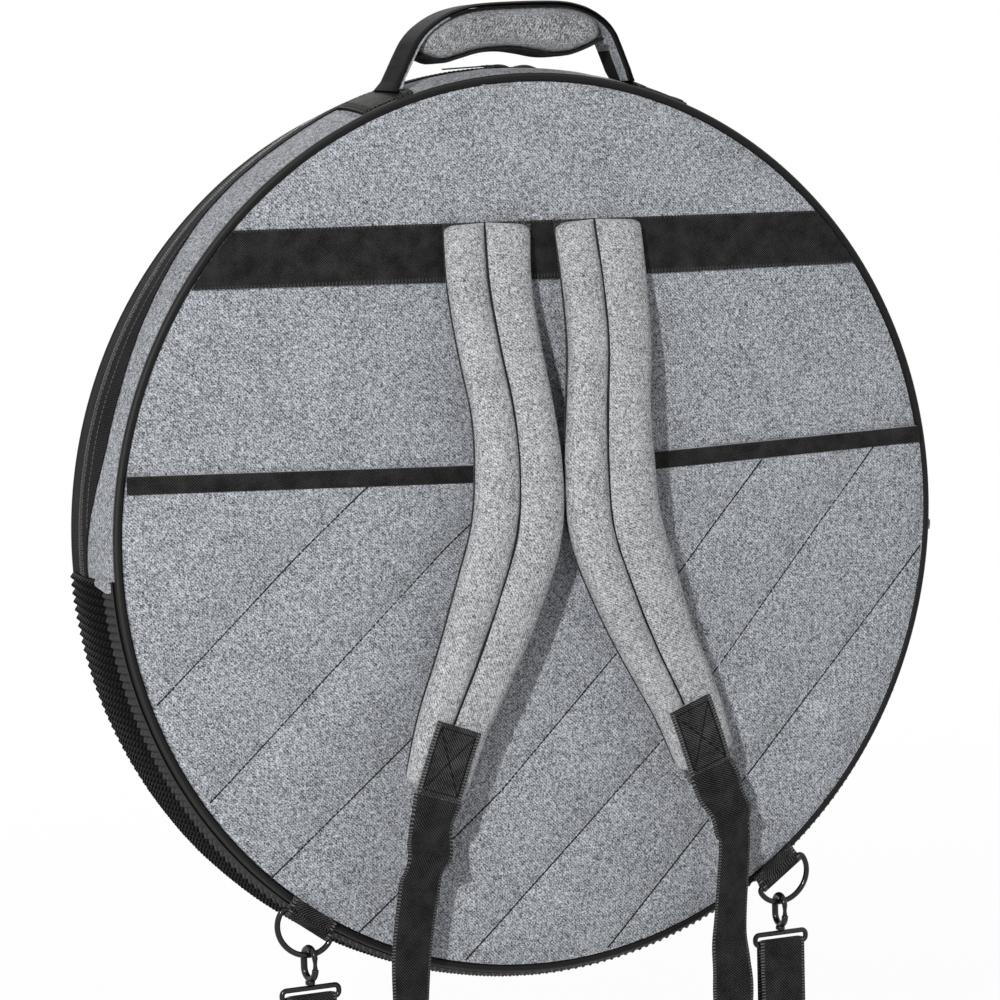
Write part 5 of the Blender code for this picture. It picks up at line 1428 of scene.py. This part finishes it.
def hook_frame(side):
    centre, along, out = ring_frame(side)
    reach = RING_REACH - RING_CORNER
    a = RING_HALF_WIDTH * -along.z
    b = reach * -out.z
    length = hypot(a, b)
    low = centre + along * (RING_HALF_WIDTH * a / length) + out * (RING_CORNER + reach * b / length)
    arch = low.z + RING_WIRE + GAP + HOOK_WIRE - HOOK_ARC
    foot = arch - HOOK_STRAIGHT
    barrel_low = foot - HOOK_ARC - HOOK_WIRE - 0.5 * BARREL_HEIGHT
    eye = barrel_low - GAP - EYE_WIRE - EYE_HALF_HEIGHT
    bar = eye - EYE_HALF_HEIGHT
    web_y = low.y - EYE_WIRE - GAP - 0.5 * STRAP_THICK
    return {"low": low, "arch": arch, "foot": foot, "barrel": barrel_low, "eye": eye, "bar": bar,
            "web_y": web_y, "front_end": bar - HOOK_WEB_FRONT_LENGTH, "tail_end": bar - HOOK_WEB_TAIL_LENGTH,
            "adjuster": bar - ADJUSTER_DROP}


def strap_route(side, steps):
    path, last = tab_path(side)
    along, across = last[1], last[2]
    start = path[-1] + along * GAP
    place = hook_frame(side)
    end = Vector((place["low"].x, place["web_y"], place["front_end"] - GAP))
    drop = start.z - STRAP_BOTTOM
    rows = [(*(start + along * STRAP_STIFF_END), 0.0)]
    for x, y, z, twist in (STRAP_LEFT_SHARES if side < 0.0 else STRAP_RIGHT_SHARES):
        rows.append((start.x + (end.x - start.x) * x, start.y + (end.y - start.y) * y, start.z - drop * z,
                     0.5 * pi * twist))
    rows.append((*end, pi))
    rows = smooth_points(rows, steps)
    centres = [start] + [Vector(row[:3]) for row in rows]
    sideways = [across, across]
    for row in rows[1:]:
        sideways.append(Matrix.Rotation(row[3], 3, "Z") @ Vector((-1.0, 0.0, 0.0)))
    return centres, sideways


def make_strap(suffix, side):
    centres, sideways = strap_route(side, 10)
    lowest = min(range(len(centres)), key=lambda i: centres[i].z)
    marks = lengths(centres)
    for centre, mark in zip(centres, marks):
        centre.y += sum(depth * exp(-((mark - at) / span) ** 2)
                        for at, span, depth in (FOLDS_LEFT if side < 0.0 else FOLDS_RIGHT))
    third = (len(centres) - 1 - lowest) // 3
    legs = (("strap_pad_leg_", 0, lowest, "pad_" + suffix, "shell"),
            ("strap_ring_leg_", lowest, lowest + third, "shell", "ring_" + suffix),
            ("strap_eye_leg_", lowest + third, lowest + 2 * third, "ring_" + suffix, "eye_" + suffix),
            ("strap_hook_leg_", lowest + 2 * third, len(centres) - 1, "eye_" + suffix, "hook_" + suffix))
    for name, first, last, near, far in legs:
        tool = start_tool()
        add_ribbon(tool, centres[first:last + 1], sideways[first:last + 1], STRAP_WIDTH, STRAP_THICK, 12,
                   marks[first])
        piece = finish_piece(name + suffix, tool, WEB_STRAP, None, ("strap_webbing_" + suffix,))
        bend(piece, near, far, centres[first], centres[last])


def make_ring_set(suffix, side):
    centre, along, out = ring_frame(side)
    inside = RING_WIRE + GAP
    outside = inside + RING_TAB_THICK
    half_neck = 0.5 * RING_TAB_NECK
    foot = RING_TAB_FOOT - RING_BAR_RADIUS
    spread = pi - TAB_OPEN
    outline = [(outside * cos(turn), outside * sin(turn)) for turn in spaced(-spread, spread, 20)]
    outline += [(foot * t, half_neck) for t in (0.7, 0.85, 1.0)]
    outline += [(foot * t, -half_neck) for t in (1.0, 0.85, 0.7)]
    rings = []
    for end in spaced(-1.0, 1.0, 12):
        squeeze = 1.0 - 0.05 * abs(end) ** 6
        middle = centre + along * (0.5 * RING_TAB_WIDTH * end)
        rings.append([middle + out * x + Vector((0.0, y * squeeze, 0.0)) for x, y in outline])
    tool = start_tool()
    add_loft(tool, rings)
    layer = tool.loops.layers.uv.active
    for face in tool.faces:
        for corner in face.loops:
            spot = corner.vert.co - centre
            corner[layer].uv = (spot.dot(out) + spot.y, spot.dot(along))
    finish_piece("ring_tab_web_" + suffix, tool, WEB_RING, "shell", ("ring_tab_" + suffix,))

    tool = start_tool()
    for end in (-1.0, 1.0):
        middle = end * (0.5 * RING_TAB_WIDTH - SEAM_INSET)
        path = zigzag(lambda u, v: centre + along * (middle + u) + out * v
                      + Vector((0.0, -half_neck - THREAD * 0.3, 0.0)), foot, -inside * 0.9, 6, RING_ZIGZAG)
        add_tube(tool, path, THREAD * 1.2, 5)
    finish_piece("ring_tab_seam_" + suffix, tool, PALE_SEWING, "shell", ())

    points = []
    for step in range(5):
        turn = 0.5 * pi * (1.0 - step / 5.0)
        points.append((RING_HALF_WIDTH - RING_CORNER * (1.0 - cos(turn)), RING_CORNER * (1.0 - sin(turn))))
    reach = RING_REACH - RING_CORNER
    curved = [(RING_HALF_WIDTH * cos(turn), RING_CORNER + reach * sin(turn))
              for turn in spaced(0.0, pi, 36)]
    outline = points + curved + [(-a, b) for a, b in reversed(points)]
    straight = RING_HALF_WIDTH - RING_CORNER
    outline += [(a, 0.0) for a in spaced(-straight, straight, 8)[1:-1]]
    tool = start_tool()
    add_tube(tool, [centre + along * a + out * b for a, b in outline], RING_WIRE, 14, closed=True)
    finish_piece("ring_wire_" + suffix, tool, METAL, "ring_" + suffix, ("d_ring_" + suffix,))
    make_hook(suffix, side)


def make_hook(suffix, side):
    place = hook_frame(side)
    low = place["low"]
    turn = radians(HOOK_LEFT_TURN_DEG) if side < 0.0 else 0.0
    open_side = Vector((-sin(turn), -cos(turn), 0.0))
    base = Vector((low.x, low.y, 0.0))

    def spot(a, b):
        return base + open_side * a + Vector((0.0, 0.0, b))

    path, radii = [], []
    for angle in spaced(0.0, -pi, 14):
        path.append(spot(HOOK_ARC * cos(angle), place["foot"] + HOOK_ARC * sin(angle)))
        radii.append(HOOK_WIRE)
    for angle in spaced(pi, 0.0, 14):
        path.append(spot(HOOK_ARC * cos(angle), place["arch"] + HOOK_ARC * sin(angle)))
        radii.append(HOOK_WIRE * (0.8 + 0.2 * min(1.0, angle / (0.4 * pi))))
    tool = start_tool()
    add_tube(tool, path, radii, 14)
    rings = []
    for share, size in BARREL_SHARES:
        height = place["barrel"] + BARREL_HEIGHT * share
        rings.append([base + Vector((BARREL_RADIUS * size * cos(angle), BARREL_RADIUS * size * sin(angle),
                                     height)) for angle in [2.0 * pi * k / 18 for k in range(18)]])
    add_loft(tool, rings, spaced(0.0, BARREL_HEIGHT, 6), spaced(0.0, 6.0 * BARREL_RADIUS, 18))
    finish_piece("hook_body_" + suffix, tool, METAL, "hook_" + suffix, ("snap_hook_" + suffix,))

    tool = start_tool()
    top, foot = place["arch"] - GATE_TOP_GAP, place["foot"] + GATE_FOOT_GAP
    add_tube(tool, [spot(HOOK_ARC, z) for z in spaced(foot, top, 4)],
             [GATE_WIRE, GATE_WIRE * 0.9, GATE_WIRE * 0.8, GATE_WIRE * 0.9, GATE_WIRE], 12)
    finish_piece("gate_bar_" + suffix, tool, METAL, "gate_" + suffix, ("hook_gate_" + suffix,))

    tool = start_tool()
    path = []
    for number, (a, b) in enumerate(((1, 1), (-1, 1), (-1, -1), (1, -1))):
        for angle in spaced(0.5 * pi * number, 0.5 * pi * (number + 1), 6):
            path.append(Vector((low.x + a * (EYE_HALF_WIDTH - EYE_CORNER) + EYE_CORNER * cos(angle), low.y,
                                place["eye"] + b * (EYE_HALF_HEIGHT - EYE_CORNER) + EYE_CORNER * sin(angle))))
    add_tube(tool, path, EYE_WIRE, 12, closed=True)
    finish_piece("eye_wire_" + suffix, tool, METAL, "eye_" + suffix, ("hook_eye_" + suffix,))

    bar = place["bar"]
    bend_of = low.y - place["web_y"]
    centres = [Vector((low.x, place["web_y"], z)) for z in spaced(place["front_end"], bar, 14)]
    for angle in spaced(pi, 0.0, 10)[1:-1]:
        centres.append(Vector((low.x, low.y + bend_of * cos(angle), bar + bend_of * sin(angle))))
    centres += [Vector((low.x, low.y + bend_of, z)) for z in spaced(bar, place["tail_end"], 14)]
    tool = start_tool()
    add_ribbon(tool, centres, [Vector((1.0, 0.0, 0.0))] * len(centres), STRAP_WIDTH, STRAP_THICK, 12)
    finish_piece("hook_web_" + suffix, tool, WEB_STRAP, "eye_" + suffix, ("hook_webbing_" + suffix,))


def finish_hardware():
    """Small metal pieces keep the model's own shape, with softened edges."""
    kinds = ("zip_slider_", "zip_pull_", "strap_adjuster_")
    for name in [kind + side for kind in kinds for side in ("left", "right")]:
        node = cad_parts[name]
        node.data.materials.clear()
        node.data.materials.append(METAL)
        soften = node.modifiers.new("edge", "BEVEL")
        soften.width = EDGE_SOFT
        soften.segments = 2
        soften.limit_method = "ANGLE"
        soften.angle_limit = radians(EDGE_SHARP_DEG)


# Floor, light and camera

CAMERA_SPOT = (-0.9767, -2.0887, 0.2397)
CAMERA_YAW_DEG = -24.81
CAMERA_PITCH_DEG = 5.58
CAMERA_ROLL_DEG = -1.51
CAMERA_LENS_MM = 125.1
CAMERA_SENSOR_MM = 36.0
CLIP_END = 100.0
FLOOR_GAP = 0.001
FLOOR_SIZE = 30.0
FLOOR_GLOW = 0.95                # share of plain white in the floor, near the bag
FLOOR_FADE_FROM = 0.8
FLOOR_FADE_SPAN = 1.6
WHITE = (1.0, 1.0, 1.0, 1.0)
WORLD_LIGHT = 0.26
LAMPS = (                        # name, place, aim, watts and size
    ("key", (-2.0, -2.45, 1.35), (0.0, 0.0, -0.05), 95.0, 0.14),
    ("fill", (2.2, -2.4, 0.8), (0.0, 0.0, 0.0), 6.0, 1.6),
    ("back", (0.6, 2.4, 1.8), (0.0, 0.0, 0.0), 40.0, 1.5),
)


def seen_share(tree):
    """1 for what the camera sees, also in a reflection, and 0 for light that falls on the bag."""
    paths = tree.nodes.new("ShaderNodeLightPath").outputs
    bent = add_node(tree, "Math", {0: paths["Is Glossy Ray"], 1: paths["Is Transmission Ray"]},
                    operation="MAXIMUM")
    return add_node(tree, "Math", {0: paths["Is Camera Ray"], 1: bent}, operation="MAXIMUM")


def make_stage():
    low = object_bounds()[0]
    f = Finish("floor_paper", 0.85)
    grain = f.noise(f.place("Object"), FLOOR_GRAIN, 3.0)
    f.colour(f.ramp(grain, ((0.0, (0.80, 0.80, 0.80)), (1.0, (0.86, 0.86, 0.86)))))
    glow = f.add("Emission", {"Color": WHITE, "Strength": 1.0})
    far = f.add("VectorMath", {0: f.place("Object")}, output="Value", operation="LENGTH")
    far = f.math("DIVIDE", f.math("SUBTRACT", far, FLOOR_FADE_FROM), FLOOR_FADE_SPAN)
    far = f.math("MINIMUM", f.math("MAXIMUM", far, 0.0), 1.0)
    share = f.math("MULTIPLY", seen_share(f.tree), f.math("MULTIPLY_ADD", far, 1.0 - FLOOR_GLOW, FLOOR_GLOW))
    mixed = f.add("MixShader", {0: share, 1: f.shader.outputs[0], 2: glow})
    f.tree.links.new(mixed, f.tree.nodes["Material Output"].inputs["Surface"])
    tool = start_tool()
    bmesh.ops.create_grid(tool, x_segments=8, y_segments=8, size=0.5 * FLOOR_SIZE)
    mesh = bpy.data.meshes.new("floor")
    tool.to_mesh(mesh)
    tool.free()
    mesh.materials.append(f.material)
    floor_piece = bpy.data.objects.new("floor", mesh)
    floor_piece.location = (0.0, 0.0, low.z - FLOOR_GAP)
    bpy.context.scene.collection.objects.link(floor_piece)

    world = bpy.data.worlds.new("studio")
    bpy.context.scene.world = world
    world.use_nodes = True
    tree = world.node_tree
    tree.nodes.clear()
    soft, white = [add_node(tree, "Background", {0: WHITE, 1: light}) for light in (WORLD_LIGHT, 1.0)]
    chosen = add_node(tree, "MixShader", {0: seen_share(tree), 1: soft, 2: white})
    tree.links.new(chosen, tree.nodes.new("ShaderNodeOutputWorld").inputs[0])

    for name, spot, aim, power, size in LAMPS:
        lamp = bpy.data.lights.new(name, "AREA")
        lamp.energy = power
        lamp.shape = "DISK"
        lamp.size = size
        holder = bpy.data.objects.new(name, lamp)
        bpy.context.scene.collection.objects.link(holder)
        holder.location = MIDDLE + Vector(spot)
        holder.rotation_euler = (Vector(aim) - Vector(spot)).to_track_quat("-Z", "Y").to_euler()


def make_camera():
    yaw, pitch, roll = radians(CAMERA_YAW_DEG), radians(CAMERA_PITCH_DEG), radians(CAMERA_ROLL_DEG)
    back = Vector((sin(yaw) * cos(pitch), -cos(yaw) * cos(pitch), sin(pitch)))
    right = Vector((0.0, 0.0, 1.0)).cross(back).normalized()
    up = back.cross(right)
    rolled_right = right * cos(roll) + up * sin(roll)
    rolled_up = up * cos(roll) - right * sin(roll)
    data = bpy.data.cameras.new("camera")
    data.lens = CAMERA_LENS_MM
    data.sensor_width = CAMERA_SENSOR_MM
    data.sensor_fit = "HORIZONTAL"
    data.clip_end = CLIP_END
    holder = bpy.data.objects.new("camera", data)
    bpy.context.scene.collection.objects.link(holder)
    turn = Matrix((rolled_right, rolled_up, back)).transposed().to_4x4()
    holder.matrix_world = Matrix.Translation(MIDDLE + Vector(CAMERA_SPOT)) @ turn
    bpy.context.scene.camera = holder


make_back()
make_rim()
make_front()
make_handle()
for strap_name, strap_side in (("left", -1.0), ("right", 1.0)):
    make_pad(strap_name, strap_side)
    make_strap(strap_name, strap_side)
    make_ring_set(strap_name, strap_side)
finish_hardware()
make_stage()
make_camera()
bpy.context.scene.view_settings.view_transform = "Standard"

bpy.context.view_layer.update()
